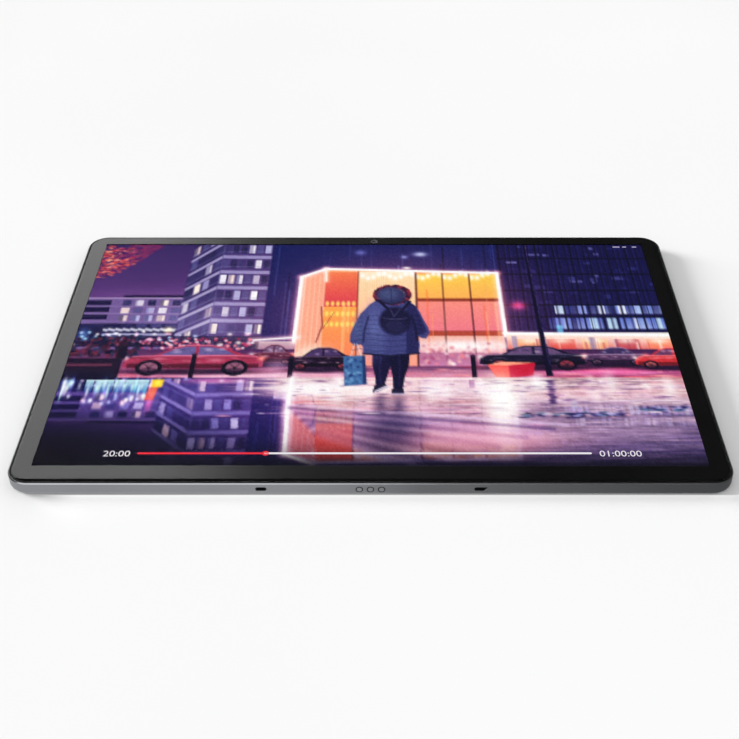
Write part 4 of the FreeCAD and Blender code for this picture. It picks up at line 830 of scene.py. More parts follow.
def paint_wet_lights(p):
    """Streaks of light on the wet ground, the pale slabs crossing it, and the kerb."""
    p.rectangle((-0.1, 0.632), (0.085, 0.664), (26, 18, 44), (22, 16, 42), 0.95)
    for start, end in ((0.043, 0.055), (0.058, 0.087), (0.09, 0.104), (0.107, 0.143)):
        p.rectangle((start, 0.664), (end, 0.716), (190, 236, 232), (52, 70, 140), 0.8)
    each(p.polygon,
         ([(0.147, 0.662), (0.167, 0.662), (0.165, 0.694), (0.145, 0.694)], (255, 168, 30), 0.9),
         ([(0.145, 0.694), (0.16, 0.694), (0.156, 0.748), (0.142, 0.748)], (240, 84, 50), 0.7))
    for _ in range(30):
        u = p.between(0.0, 0.15)
        hue = p.pick(((150, 220, 255), (236, 250, 255), (90, 220, 220), (130, 120, 230), (170, 240, 220)))
        p.glow((u, p.between(0.675, 0.72)), (p.between(0.0012, 0.003), p.between(0.015, 0.035)), hue,
               p.between(0.4, 1.0))
    p.scatter(p.glow, 16, (0.02, 0.15), (0.73, 0.77), (0.003, 0.008),
              ((255, 180, 190), (240, 240, 255), (150, 170, 240)), 0.8)
    each(p.glow, ((0.158, 0.675), (0.007, 0.014), (255, 210, 70), 0.8),
         ((0.153, 0.715), (0.006, 0.022), (255, 90, 50), 0.6),
         ((0.151, 0.76), (0.005, 0.03), (230, 60, 110), 0.7),
         ((0.4, 0.7), (0.07, 0.035), (255, 214, 214), 0.9),
         ((0.6, 0.69), (0.06, 0.03), (255, 206, 210), 0.5))
    p.scatter(p.glow, 34, (0.42, 1.0), (0.66, 0.74), ((0.003, 0.012), (0.01, 0.04)),
              ((255, 220, 215), (255, 246, 240), (250, 160, 180)), (0.2, 0.55))
    each(p.glow, ((0.706, 0.74), (0.026, 0.09), (255, 240, 214), 1.0),
         ((0.7, 0.86), (0.02, 0.1), (255, 214, 190), 0.75),
         ((0.72, 0.9), (0.1, 0.05), (240, 130, 120), 0.45),
         ((0.42, 0.715), (0.09, 0.02), (255, 150, 130), 0.4),
         ((0.25, 0.667), (0.05, 0.012), (230, 100, 124), 0.6))
    for dash in range(9):
        p.ellipse((0.785 + 0.002 * math.sin(dash * 2.3), 0.67 + 0.011 * dash), (0.006, 0.005),
                  (64, 44, 92), 0.8, 0.5)
    p.rectangle((0.655, 0.665), (0.664, 0.7), (120, 80, 120), (190, 150, 180), 0.7)
    mirrored_edge = [(0.371, WET_TOP), (0.369, 0.8), (0.371, 0.955), (0.415, 0.992)]
    p.stroke(mirrored_edge, 0.0085, (255, 246, 246), 1, 0.014, (255, 196, 206))
    for slab in range(11):
        start = (0.366 + 0.006 * slab, 0.766 + 0.012 * slab)
        end = (0.8 - 0.022 * slab, 0.845 + 0.016 * slab)
        shade = ((214, 190, 226), (70, 54, 104), (176, 150, 200), (92, 72, 124))[slab % 4]
        for share in (1.7, 1.1, 0.6):
            p.stroke([start, end], (0.009 + 0.0012 * slab) * share, shade, 0.2)
    p.scatter(p.ellipse, 330, (0.27, 1.0), lambda: WET_TOP + 0.01 + 0.15 * p.rng.random() ** 1.4,
              ((0.003, 0.016), (0.001, 0.0024)),
              ((255, 240, 242), (98, 66, 112), (250, 176, 190), (170, 130, 176), (66, 46, 92)),
              (0.25, 0.75), 0.5)
    puddles = ((0.762, 0.028, 0.806), (0.812, 0.012, 0.808), (0.836, 0.016, 0.806),
               (0.872, 0.016, 0.802), (0.938, 0.024, 0.786), (0.978, 0.012, 0.782))
    for u, reach, v in puddles:
        p.scatter(p.ellipse, 15, (u - reach, u + reach), (v - 0.01, v + 0.01), ((0.003, 0.009), 0.003),
                  ((26, 22, 58), (36, 30, 74), (52, 96, 124), (150, 150, 200)), 0.6, 0.5)
    p.rectangle((0.4145, 0.84), (0.4715, 0.97), (240, 120, 100), (232, 100, 90), 0.5)
    p.ellipse((0.65, 0.91), (0.09, 0.05), (216, 150, 168), 0.75, 0.6)


def paint_walker(p):
    """Someone in a hooded winter coat seen from behind, with a backpack and a shopping bag."""
    p.polygon([(0.5, 0.54), (0.53, 0.54), (0.53, 0.6), (0.524, 0.655), (0.52, 0.688),
               (0.506, 0.688), (0.505, 0.65), (0.5, 0.6)], (34, 30, 58))
    p.polygon([(0.528, 0.54), (0.562, 0.54), (0.56, 0.6), (0.553, 0.65), (0.549, 0.704), (0.534, 0.704),
               (0.533, 0.65), (0.529, 0.6)], (26, 24, 50))
    each(p.stroke, ([(0.514, 0.56), (0.512, 0.62), (0.514, 0.68)], 0.004, (58, 56, 92), 0.6),
         ([(0.544, 0.56), (0.545, 0.62), (0.543, 0.69)], 0.004, (50, 48, 84), 0.6))
    p.polygon([(0.504, 0.686), (0.522, 0.682), (0.526, 0.694), (0.508, 0.716), (0.501, 0.716)],
              (40, 38, 58))
    p.stroke([(0.506, 0.712), (0.525, 0.69)], 0.008, (206, 196, 212), 0.85)
    p.polygon([(0.532, 0.7), (0.55, 0.7), (0.552, 0.722), (0.531, 0.722)], (40, 38, 58))
    p.stroke([(0.532, 0.722), (0.551, 0.722)], 0.006, (188, 180, 204), 0.85)
    outline = [(0.494, 0.318), (0.506, 0.296), (0.52, 0.284), (0.546, 0.284), (0.56, 0.298),
               (0.572, 0.322), (0.58, 0.352), (0.586, 0.39), (0.594, 0.43), (0.596, 0.456),
               (0.59, 0.482), (0.582, 0.48), (0.576, 0.47), (0.579, 0.51), (0.577, 0.548),
               (0.555, 0.557), (0.528, 0.56), (0.502, 0.557), (0.484, 0.55), (0.484, 0.52),
               (0.48, 0.506), (0.47, 0.512), (0.462, 0.498), (0.462, 0.462), (0.468, 0.42),
               (0.478, 0.366)]
    p.polygon(outline, COAT)
    each(p.ellipse, ((0.503, 0.44), (0.016, 0.1), (102, 108, 150), 0.75, 0.8),
         ((0.474, 0.44), (0.007, 0.06), (92, 104, 136), 0.6, 0.8))
    p.polygon([(0.558, 0.31), (0.572, 0.322), (0.583, 0.39), (0.592, 0.45), (0.576, 0.468),
               (0.577, 0.548), (0.556, 0.556)], COAT_DARK, 0.75)
    each(p.stroke, ([(0.484, 0.5), (0.486, 0.44), (0.492, 0.38)], 0.006, (40, 44, 70), 0.7),
         ([(0.575, 0.49), (0.572, 0.43), (0.566, 0.37)], 0.006, (26, 28, 50), 0.7))
    for fold in range(9):
        level = 0.36 + fold * 0.021
        each(p.stroke, ([(0.488, level + 0.012), (0.51, level + 0.016)], 0.003, (54, 62, 90), 0.6),
             ([(0.464 + 0.0016 * (9 - fold), level + 0.006), (0.482, level)], 0.003, (46, 54, 82), 0.6))
        if fold < 5:
            p.stroke([(0.573, level + 0.012), (0.579 + 0.0022 * fold, level + 0.018)], 0.003,
                     (22, 26, 48), 0.6)
    for fold in range(4):
        level = 0.462 + fold * 0.024
        p.stroke([(0.489, level), (0.528, level + 0.008), (0.572, level)], 0.0035, (48, 56, 84), 0.6)
    p.stroke([(0.485, 0.55), (0.528, 0.56), (0.577, 0.548)], 0.007, (34, 36, 58))
    for _ in range(320):
        turn = p.between(0, 2 * math.pi)
        reach = 0.029 * (0.86 + 0.26 * p.rng.random())
        spot = (0.533 + reach * math.cos(turn), 0.27 + reach * 1.5 * math.sin(turn))
        p.ellipse(spot, (0.003, 0.0055), p.pick(FUR_COLOURS), 0.8)
    each(p.ellipse, ((0.532, 0.274), (0.0255, 0.043), (58, 62, 90), 1.0, 0.15),
         ((0.527, 0.266), (0.017, 0.027), (86, 94, 124), 0.7, 0.5))
    each(p.stroke, ([(0.531, 0.24), (0.532, 0.31)], 0.003, (44, 46, 70), 0.6),
         ([(0.506, 0.302), (0.532, 0.318), (0.56, 0.302)], 0.006, (36, 38, 62), 0.8))
    each(p.ellipse, ((0.538, 0.398), (0.027, 0.066), (34, 32, 56), 0.95, 0.12),
         ((0.538, 0.426), (0.019, 0.03), (52, 50, 78), 0.8, 0.3))
    each(p.stroke, ([(0.526, 0.342), (0.51, 0.3)], 0.009, (30, 28, 50)),
         ([(0.552, 0.342), (0.564, 0.304)], 0.009, (30, 28, 50)),
         ([(0.518, 0.386), (0.538, 0.392), (0.558, 0.386)], 0.003, (100, 96, 128), 0.8),
         ([(0.53, 0.344), (0.536, 0.378), (0.546, 0.344)], 0.0025, (100, 96, 128), 0.7),
         ([(0.47, 0.505), (0.464, 0.565)], 0.002, (190, 200, 216)),
         ([(0.474, 0.505), (0.482, 0.565)], 0.002, (190, 200, 216)))
    each(p.polygon, ([(0.452, 0.562), (0.488, 0.558), (0.492, 0.682), (0.456, 0.69)], (72, 104, 140)),
         ([(0.483, 0.559), (0.488, 0.558), (0.492, 0.682), (0.486, 0.684)], (46, 66, 100)))
    p.scatter(p.ellipse, 34, (0.457, 0.483), (0.572, 0.676), (0.0028, 0.006),
              ((116, 150, 184), (40, 58, 96), (96, 130, 168), (50, 76, 116)), 0.6, 0.4)
    for side in (-1, 1):
        p.ellipse((0.528 + side * 0.014, 0.765), (0.01, 0.03), (40, 34, 66), 0.6, 0.9)
    p.ellipse((0.53, 0.87), (0.04, 0.07), (34, 30, 62), 0.55, 0.6)


def finish_painting(p):
    """Darkens the lower edge and corners, lifts the contrast and adds a little grain."""
    v = p.v[:, None, None]
    u = p.u[None, :, None]
    low = np.clip((v - 0.88) / 0.12, 0, 1)
    p.colour *= 1 - 0.8 * low * low
    p.colour *= 1 - 0.35 * np.clip((v - 0.8) * 8, 0, 1) * np.clip(1.3 - 2 * u, 0, 1)
    p.colour *= 1 - 0.3 * np.clip(np.abs(u - 0.5) * 2 - 0.75, 0, 1) * np.clip(v * 2 - 1, 0, 1)
    p.colour += np.array(DARK_TINT) * (1 - np.clip(p.colour.mean(axis=2, keepdims=True), 0, 1)) ** 4
    p.colour = np.clip(p.colour, 0, 1)
    p.colour = p.colour + CONTRAST * (p.colour - 0.42) * (1 - (2 * p.colour - 1) ** 2)
    p.colour += p.rng.normal(0, GRAIN, p.colour.shape[:2])[..., None]


def paint_picture():
    """A rainy city street at night, as display colours on the points of the display's grid."""
    p = Painting(seed=7)
    for layer in (paint_sky, paint_low_houses, paint_corner_block, paint_towers, paint_pavilion,
                  paint_street_front, paint_street, paint_reflections, paint_wet_lights, paint_walker,
                  finish_painting):
        layer(p)
    return p.grid_colours()


# ---- materials ----

def linear(shares):
    """Display shares from 0 to 1 as linear ones."""
    return np.where(shares <= 0.04045, shares / 12.92, ((shares + 0.055) / 1.055) ** 2.4)


def new_material(name):
    """A material with its node tree and its Principled node."""
    material = bpy.data.materials.new(name)
    material.use_nodes = True
    return material, material.node_tree, material.node_tree.nodes["Principled BSDF"]


def feed(made, inputs):
    """Sets a node's inputs, or links them when a socket is given."""
    for key, given in inputs.items():
        if isinstance(given, bpy.types.NodeSocket):
            made.id_data.links.new(given, made.inputs[key])
        else:
            made.inputs[key].default_value = given


def node(tree, kind, inputs=None, **settings):
    """A new shader node with its settings, and its inputs set or linked."""
    made = tree.nodes.new("ShaderNode" + kind)
    for key, setting in settings.items():
        setattr(made, key, setting)
    feed(made, inputs or {})
    return made


def surface(tree, shader):
    """Shows a shader on the material's surface."""
    feed(tree.nodes["Material Output"], {"Surface": shader.outputs[0]})


def place_in(tree):
    """Where a shaded point is, in metres in the shared frame."""
    return node(tree, "TexCoord").outputs["Object"]


def noise_of(tree, size, detail=2.0, stretch=None):
    """A noise value whose lumps are about size millimetres across."""
    vector = place_in(tree)
    if stretch:
        vector = node(tree, "Mapping", {"Vector": vector, "Scale": stretch}).outputs["Vector"]
    settings = {"Vector": vector, "Scale": 1 / (size * MM), "Detail": detail}
    return node(tree, "TexNoise", settings).outputs["Fac"]


def ramp(tree, value, stops):
    """A colour ramp through stops of place and grey value or colour."""
    made = node(tree, "ValToRGB", {"Fac": value})
    elements = made.color_ramp.elements
    for index, (place, colour) in enumerate(stops):
        element = elements[index] if index < 2 else elements.new(place)
        element.position = place
        shade = colour if isinstance(colour, tuple) else (colour,) * 3
        element.color = (*shade, 1)
    return made.outputs["Color"]


def maths(tree, operation, first, *others):
    """A maths node on values or sockets, and another for each value after the second."""
    for other in others or (0.0,):
        first = node(tree, "Math", {0: first, 1: other}, operation=operation).outputs[0]
    return first


def mapped(tree, value, low, high, to_low=0.0, to_high=1.0, kind="SMOOTHSTEP"):
    """A value carried from one range to another, smoothly unless kind says otherwise."""
    return node(tree, "MapRange",
                {"Value": value, "From Min": low, "From Max": high, "To Min": to_low, "To Max": to_high},
                interpolation_type=kind).outputs["Result"]


def uneven(tree, size, low, high, detail=2.0):
    """A value between low and high in patches of about size millimetres."""
    return mapped(tree, noise_of(tree, size, detail), 0.3, 0.7, low, high)


def dress(material, tone, stops, roughness, height, depth, metallic=0.0, strength=1.0):
    """Colours a material by a tone through stops, with bump of depth millimetres from a height value."""
    tree = material.node_tree
    bump = node(tree, "Bump", {"Height": height, "Distance": depth * MM, "Strength": strength})
    feed(tree.nodes["Principled BSDF"], {"Base Color": ramp(tree, tone, stops), "Metallic": metallic,
                                         "Roughness": roughness, "Normal": bump.outputs["Normal"]})
    return material


def grained(name, light, dark, metallic, roughness, grain, depth, patch=12, stretch=None):
    """Two close tones in soft patches, with a fine grain in its height and roughness."""
    material, tree, _ = new_material(name)
    patches = noise_of(tree, patch, 3.0)
    fine = noise_of(tree, grain, 2.0, stretch)
    tones = maths(tree, "ADD", maths(tree, "MULTIPLY", patches, 0.6), maths(tree, "MULTIPLY", fine, 0.4))
    rough = mapped(tree, fine, 0.3, 0.7, *roughness)
    return dress(material, tones, ((0.3, dark), (0.7, light)), rough, fine, depth, metallic)


def moulded(name, light, dark, roughness=(0.42, 0.55), grain=0.25, depth=0.003):
    """Moulded plastic with a fine spark-eroded texture."""
    return grained(name, light, dark, 0.0, roughness, grain, depth, 8)


def case_metal():
    """Dark grey anodised aluminium, finely bead-blasted."""
    tones = ((0.315, 0.322, 0.338), (0.275, 0.283, 0.3))
    return grained("case_metal", *tones, 1.0, (0.33, 0.43), 0.11, 0.0035, 30)


def bright_cut_metal():
    """The diamond-cut edge: the same metal, left bright and smooth."""
    tones = ((0.66, 0.67, 0.69), (0.58, 0.59, 0.62))
    return grained("bright_cut_metal", *tones, 1.0, (0.16, 0.24), 0.05, 0.0006, 20)


def glass_over(name, mirrored, tint=(1, 1, 1), clear_part=None):
    """Clear glass: what is behind it, and a mirror share that grows towards grazing sight.

    clear_part is the share of that mirror kept over the picture, where the coating thins it."""
    material, tree, shader = new_material(name)
    tree.nodes.remove(shader)
    fresnel = node(tree, "Fresnel", {"IOR": 1.5}).outputs["Fac"]
    facing = node(tree, "NewGeometry").outputs["Backfacing"]
    share = maths(tree, "MULTIPLY", fresnel, maths(tree, "SUBTRACT", 1.0, facing), mirrored)
    if clear_part is not None:
        place = node(tree, "SeparateXYZ", {"Vector": place_in(tree)})
        half_x, half_y = (CASE_HALF.x - SCREEN_INSET) * MM, (CASE_HALF.y - SCREEN_INSET) * MM
        beside = maths(tree, "SUBTRACT", maths(tree, "ABSOLUTE", place.outputs["X"]), half_x)
        along = maths(tree, "SUBTRACT", place.outputs["Y"], PICTURE_MIDDLE * MM)
        beyond = maths(tree, "SUBTRACT", maths(tree, "ABSOLUTE", along), half_y)
        border = mapped(tree, maths(tree, "MAXIMUM", beside, beyond), -0.1 * MM, 0.1 * MM, clear_part, 1.0)
        share = maths(tree, "MULTIPLY", share, border)
    roughness = mapped(tree, noise_of(tree, 26, 3.0), 0.35, 0.7, GLASS_BLUR, GLASS_BLUR * 2.5)
    clear = node(tree, "BsdfTransparent", {"Color": (*tint, 1)})
    mirror = node(tree, "BsdfGlossy", {"Color": (1, 1, 1, 1), "Roughness": roughness})
    surface(tree, node(tree, "MixShader", {0: share, 1: clear.outputs[0], 2: mirror.outputs[0]}))
    return material


def gold_plate():
    """Thin gold on the port's contacts."""
    return grained("gold_plate", (0.86, 0.66, 0.3), (0.78, 0.58, 0.24), 1.0, (0.2, 0.3), 0.2, 0.001, 1)


def border_ink():
    """Black ink printed under the glass, with a faint grain."""
    tones = ((0.0042, 0.0042, 0.0046), (0.0024, 0.0024, 0.0028))
    ink = grained("border_ink", *tones, 0.0, (0.5, 0.62), 0.2, 0.001, 20)
    feed(ink.node_tree.nodes["Principled BSDF"], {"Specular IOR Level": 0.0})
    return ink


def picture_light():
    """The lit display: the painted picture, its light very slightly uneven."""
    material, tree, shader = new_material("picture_light")
    painted = node(tree, "Attribute", attribute_name="picture").outputs["Color"]
    evenness = mapped(tree, noise_of(tree, 40), 0.2, 0.8, 0.97, 1.03)
    feed(shader, {"Base Color": (0.006, 0.006, 0.008, 1), "Roughness": 0.35, "Specular IOR Level": 0.0,
                  "Emission Color": painted, "Emission Strength": evenness})
    return material


def overlay_light(name, colour):
    """A lit mark on the display in one colour from 0 to 255, slightly uneven as pixels are."""
    material, tree, shader = new_material(name)
    lit = tuple(linear(np.array(colour) / 255))
    low = tuple(0.93 * c for c in lit)
    feed(shader, {"Base Color": (0.01, 0.01, 0.01, 1), "Specular IOR Level": 0.0, "Emission Strength": 1.0,
                  "Emission Color": ramp(tree, noise_of(tree, 0.6, 1.0), ((0.3, low), (0.7, lit)))})
    return material


def circuit_board():
    """Dark green solder mask with paler copper tracks under it."""
    material, tree, _ = new_material("circuit_board")
    cells = node(tree, "TexVoronoi", {"Vector": place_in(tree), "Scale": 1 / (2.2 * MM)},
                 distance="CHEBYCHEV", feature="F1").outputs["Distance"]
    tracks = maths(tree, "PINGPONG", maths(tree, "MULTIPLY", cells, 6.0), 0.5)
    return dress(material, tracks, ((0.12, (0.02, 0.09, 0.05)), (0.3, (0.006, 0.035, 0.022))),
                 uneven(tree, 1.2, 0.25, 0.4), tracks, 0.02, strength=0.5)


def woven_mesh():
    """Fine woven steel gauze, its holes black."""
    material, tree, _ = new_material("woven_mesh")
    checks = node(tree, "TexChecker", {"Vector": place_in(tree), "Scale": 1 / (0.12 * MM)}).outputs["Fac"]
    dirt = maths(tree, "MULTIPLY", noise_of(tree, 0.5), 0.3)
    wires = maths(tree, "ADD", maths(tree, "MULTIPLY", checks, 0.7), dirt)
    stops = ((0.2, (0.01, 0.01, 0.012)), (0.8, (0.16, 0.16, 0.17)))
    return dress(material, wires, stops, 0.45, checks, 0.03, 0.8)


def striped_film():
    """Amber flexible circuit with parallel copper lines."""
    material, tree, _ = new_material("striped_film")
    lines = node(tree, "TexWave", {"Vector": place_in(tree), "Scale": 1 / (1.1 * MM), "Distortion": 0.4},
                 wave_type="BANDS", bands_direction="X").outputs["Fac"]
    return dress(material, lines, ((0.35, (0.16, 0.07, 0.02)), (0.6, (0.3, 0.15, 0.05))),
                 uneven(tree, 2, 0.28, 0.42), lines, 0.01)


def pouch_foil():
    """The battery's silver-grey foil pouch, softly wrinkled, with painted shade that follows the wrinkles:
    darker in their hollows, lighter on their ridges.
    """
    material, tree, _ = new_material("pouch_foil")
    wrinkles = noise_of(tree, 7, 4.0)
    # The wrinkles set both the bump and the tone, so their hollows are painted darker and their ridges
    # lighter.
    return dress(material, wrinkles, ((0.3, (0.09, 0.09, 0.1)), (0.7, (0.16, 0.16, 0.17))),
                 uneven(tree, 1.5, 0.35, 0.5), wrinkles, 0.15, 0.6)


def diffuser_plastic():
    """The flash's clear cover, ringed to spread its light."""
    material, tree, _ = new_material("diffuser_plastic")
    middle = centre_mm("flash_lens") * MM
    offset = node(tree, "VectorMath", {0: place_in(tree), 1: tuple(-c for c in middle)}, operation="ADD")
    rings = node(tree, "TexWave", {"Vector": offset.outputs[0], "Scale": 1 / (1.0 * MM)},
                 wave_type="RINGS", rings_direction="Z").outputs["Fac"]
    return dress(material, rings, ((0.2, (0.72, 0.68, 0.52)), (0.9, (0.9, 0.88, 0.78))),
                 uneven(tree, 0.5, 0.14, 0.24), rings, 0.06)


def lens_glass():
    """A coated lens: near black, with a violet to green sheen towards its rim."""
    material, tree, shader = new_material("lens_glass")
    sheen = node(tree, "LayerWeight", {"Blend": 0.35}).outputs["Facing"]
    tone = maths(tree, "ADD", sheen, maths(tree, "MULTIPLY", noise_of(tree, 1.5), 0.12))
    stops = ((0.0, (0.004, 0.005, 0.012)), (0.45, (0.03, 0.012, 0.06)), (0.8, (0.01, 0.05, 0.05)))
    feed(shader, {"Base Color": ramp(tree, tone, stops), "Roughness": 0.04, "Coat Weight": 1.0,
                  "Coat Roughness": 0.02})
    return material


STEEL = ((0.52, 0.52, 0.53), (0.42, 0.42, 0.43), 1.0)

# Each row: light tone, dark tone, metallic share, roughness, grain, its depth, patches and stretch.
GRAINED = {
    "button_metal": ((0.33, 0.337, 0.352), (0.285, 0.292, 0.31), 1.0, (0.26, 0.34), 0.09, 0.002, 6),
    "trim_metal": ((0.24, 0.245, 0.26), (0.17, 0.175, 0.19), 1.0, (0.18, 0.28), 0.06, 0.001, 4),
    "plate_alloy": ((0.55, 0.56, 0.57), (0.45, 0.46, 0.47), 1.0, (0.4, 0.55), 0.5, 0.01),
    "steel_sheet": (*STEEL, (0.3, 0.42), 0.4, 0.003, 20, (1, 8, 1)),
    "shield_steel": (0.6, 0.5, 1.0, (0.28, 0.4), 0.3, 0.002),
    "graphite_sheet": ((0.05, 0.05, 0.055), (0.03, 0.03, 0.034), 0.5, (0.4, 0.6), 0.6, 0.01),
    "screw_steel": (*STEEL, (0.25, 0.35), 0.15, 0.002, 2),
    "contact_metal": ((0.37, 0.375, 0.39), (0.31, 0.315, 0.33), 1.0, (0.3, 0.42), 0.2, 0.001, 1),
    "magnet_metal": ((0.62, 0.6, 0.57), (0.52, 0.5, 0.48), 1.0, (0.25, 0.35), 0.3, 0.002),
    "antenna_copper": ((0.72, 0.42, 0.26), (0.6, 0.34, 0.2), 1.0, (0.3, 0.42), 0.3, 0.002),
}

# Each row: light tone, dark tone, roughness and grain.
MOULDED = {
    "window_plastic": ((0.086, 0.089, 0.097), (0.07, 0.073, 0.08), (0.38, 0.5), 0.2),
    "sealant": (0.02, 0.012, (0.6, 0.75)),
    "pull_strip": ((0.75, 0.75, 0.72), (0.62, 0.62, 0.6)),
    "chip_resin": ((0.022, 0.022, 0.024), (0.014, 0.014, 0.016), (0.5, 0.65)),
    "port_plastic": ((0.016, 0.016, 0.018), (0.01, 0.01, 0.012), (0.4, 0.55), 0.15),
    "speaker_plastic": ((0.03, 0.03, 0.032), (0.02, 0.02, 0.022)),
    "cone_rubber": ((0.025, 0.025, 0.027), (0.015, 0.015, 0.017), (0.6, 0.8)),
    "camera_plastic": ((0.012, 0.012, 0.014), (0.006, 0.006, 0.008), (0.35, 0.5), 0.12),
    "flash_lamp": ((0.8, 0.66, 0.16), (0.7, 0.54, 0.1)),
    "lead_plastic": ((0.05, 0.05, 0.055), (0.03, 0.03, 0.034)),
}


def slot_materials():
    """A material for each material slot that the CAD nodes and the pieces use."""
    materials = {name: grained(name, *row) for name, row in GRAINED.items()}
    materials.update({name: moulded(name, *row) for name, row in MOULDED.items()})
    materials.update({
        "clear_adhesive": glass_over("clear_adhesive", 0.0),
        "circuit_board": circuit_board(),
        "ribbon_film": striped_film(),
        "battery_pouch": pouch_foil(),
        "mesh_steel": woven_mesh(),
        "lens_glass": lens_glass(),
        "window_glass": glass_over("window_glass", 1.0, (0.84, 0.85, 0.87)),
        "flash_plastic": diffuser_plastic(),
    })
    return materials


# ---- the outer pieces ----

def make_casing(metal, bright):
    """The casing shell: rounded below, chamfered above, with its openings cut."""
    top, foot = CASE_TOP, UNDER_RADIUS
    under = arc((foot, foot), foot, 270, 180, 10)
    edge = [(0, foot + 0.4), (0, top - CHAMFER), (CHAMFER, top), (CHAMFER + 0.12, top)]
    inner = [(REBATE_INSET, top - 0.03), (REBATE_INSET, REBATE_FLOOR), (WALL, REBATE_FLOOR),
             (WALL, CASE_FLOOR)]
    rings = case_rings([(foot + 1.0, 0.0)] + under + soften(edge, EDGE_SOFTNESS) + inner)
    shell = new_piece("casing_shell", swept(rings), metal, ["rear_cover"], SHELL_SMOOTH)
    shell.data.materials.append(bright)
    for face in shell.data.polygons:
        height = face.center.z / MM
        in_chamfer = top - CHAMFER - EDGE_SOFTNESS < height < top + 0.01
        if in_chamfer and abs(face.normal.z) > 0.25 and face.normal.z < 0.96:
            face.material_index = 1
    cut_away(shell, case_cutters(), metal, SHELL_SMOOTH)
    even_normals(shell)


def case_cutters():
    """Cutters for every opening in the walls and the back."""
    height = centre_mm("card_tray").z
    walls = {"+x": CASE_HIGH.x, "-x": CASE_LOW.x, "+y": CASE_HIGH.y, "-y": CASE_LOW.y, "-z": 0.0}
    cutters = []

    def cut(shape, direction, x=0, y=0, z=height, flare=0.05):
        cutters.append(wall_cutter(shape, (x, y, z), direction, walls[direction], flare))

    for name, gap, flare in (("usb_port_shell", GAP, 0.12), ("card_tray", 2 * GAP, 0.04)):
        low, high = box_mm(name)
        middle = centre_mm(name)
        cut(slot_shape(high.y - low.y + gap, high.z - low.z + gap), "+x", 0, middle.y, middle.z, flare)
    cut(slot_shape(*POWER_OPENING), "-x", y=centre_mm("power_button").y)
    cut(slot_shape(*VOLUME_OPENING), "+y", x=centre_mm("volume_rocker").x)
    for side in (-1, 1):
        cut(round_shape(MIC_HOLE), "+y", x=side * MIC_PLACE)
        for direction in ("+x", "-x"):
            for hole in range(GRILLE_HOLES):
                along = side * SPEAKER_PLACE + (hole - (GRILLE_HOLES - 1) / 2) * GRILLE_PITCH
                cut(round_shape(GRILLE_RADIUS, 10), direction, y=along, flare=0.07)
    for contact in (-1, 0, 1):
        cut(round_shape(CONTACT_HOLE), "-y", x=contact * CONTACT_PITCH, flare=0.08)
    for side, shape in (("left", slot_shape(*DOCK_SLOT)), ("right", keyed_shape())):
        cut(shape, "-y", x=centre_mm(f"dock_slot_cup_{side}").x, z=DOCK_SLOT_HEIGHT, flare=0.1)
    for name in ("rear_camera_trim", "flash_lens", "antenna_window"):
        low, high = box_mm(name)
        middle = centre_mm(name)
        shape = slot_shape(high.x - low.x + GAP, high.y - low.y + GAP - 0.001, 24)
        cut(shape, "-z", middle.x, middle.y, flare=0.03)
    return cutters


def make_screen_frame(plastic):
    """The black frame whose thin lip shows round the glass."""
    low, high = box_mm("frame_rim")
    inset = CASE_HALF.x - high.x
    profile = [(inset, low.z), (inset, high.z - 0.04), (inset + 0.04, high.z), (inset + LIP - 0.04, high.z),
               (inset + LIP, high.z - 0.04), (inset + LIP, LEDGE_TOP), (LEDGE_REACH, LEDGE_TOP),
               (LEDGE_REACH, low.z)]
    shape = swept(case_rings(profile), closed=True)
    rim = new_piece("screen_frame", shape, plastic, ["frame_rim"])
    cut_away(rim, [bore(RIM_HOLE, low.z, high.z, centre_mm("front_camera_lens"))], plastic)
    even_normals(rim)


def make_glass(glass):
    """The cover glass, its upper edge curving over to the flat face.

    It is hollowed below, because what lies under glass shows SEEN_RISE higher than it is."""
    low, high = box_mm("cover_glass")
    inset = CASE_HALF.x - high.x
    recess = inset + GLASS_RECESS
    profile = [(recess, low.z + SEEN_RISE), (recess, low.z), (inset + 0.06, low.z), (inset, low.z + 0.06)]
    for step in range(13):
        turn = math.radians(90 * step / 12)
        profile.append((inset + GLASS_CURVE_REACH * (1 - math.cos(turn)),
                        high.z - GLASS_CURVE_DROP * (1 - math.sin(turn))))
    profile.append((inset + GLASS_CURVE_REACH + 1.5, high.z))
    cover = new_piece("screen_glass", swept(case_rings(profile)), glass, ["cover_glass"], 40)
    even_normals(cover)


def make_border(ink):
    """The printed border under the glass, with its window and camera hole."""
    low, high = box_mm("black_border")
    base, top = low.z + SEEN_RISE, high.z + SEEN_RISE
    outer = outline(CASE_HALF.x - high.x + GLASS_RECESS)
    inner = [(x, y + PICTURE_MIDDLE) for x, y in outline(SCREEN_INSET, WINDOW_RADIUS)]
    rings = [[(x, y, level) for x, y in edge]
             for edge, level in ((inner, base), (outer, base), (outer, top), (inner, top))]
    border = new_piece("screen_border", swept(rings, closed=True), ink, ["black_border"])
    cut_away(border, [bore(BORDER_HOLE, base, top, centre_mm("front_camera_lens"))], ink)


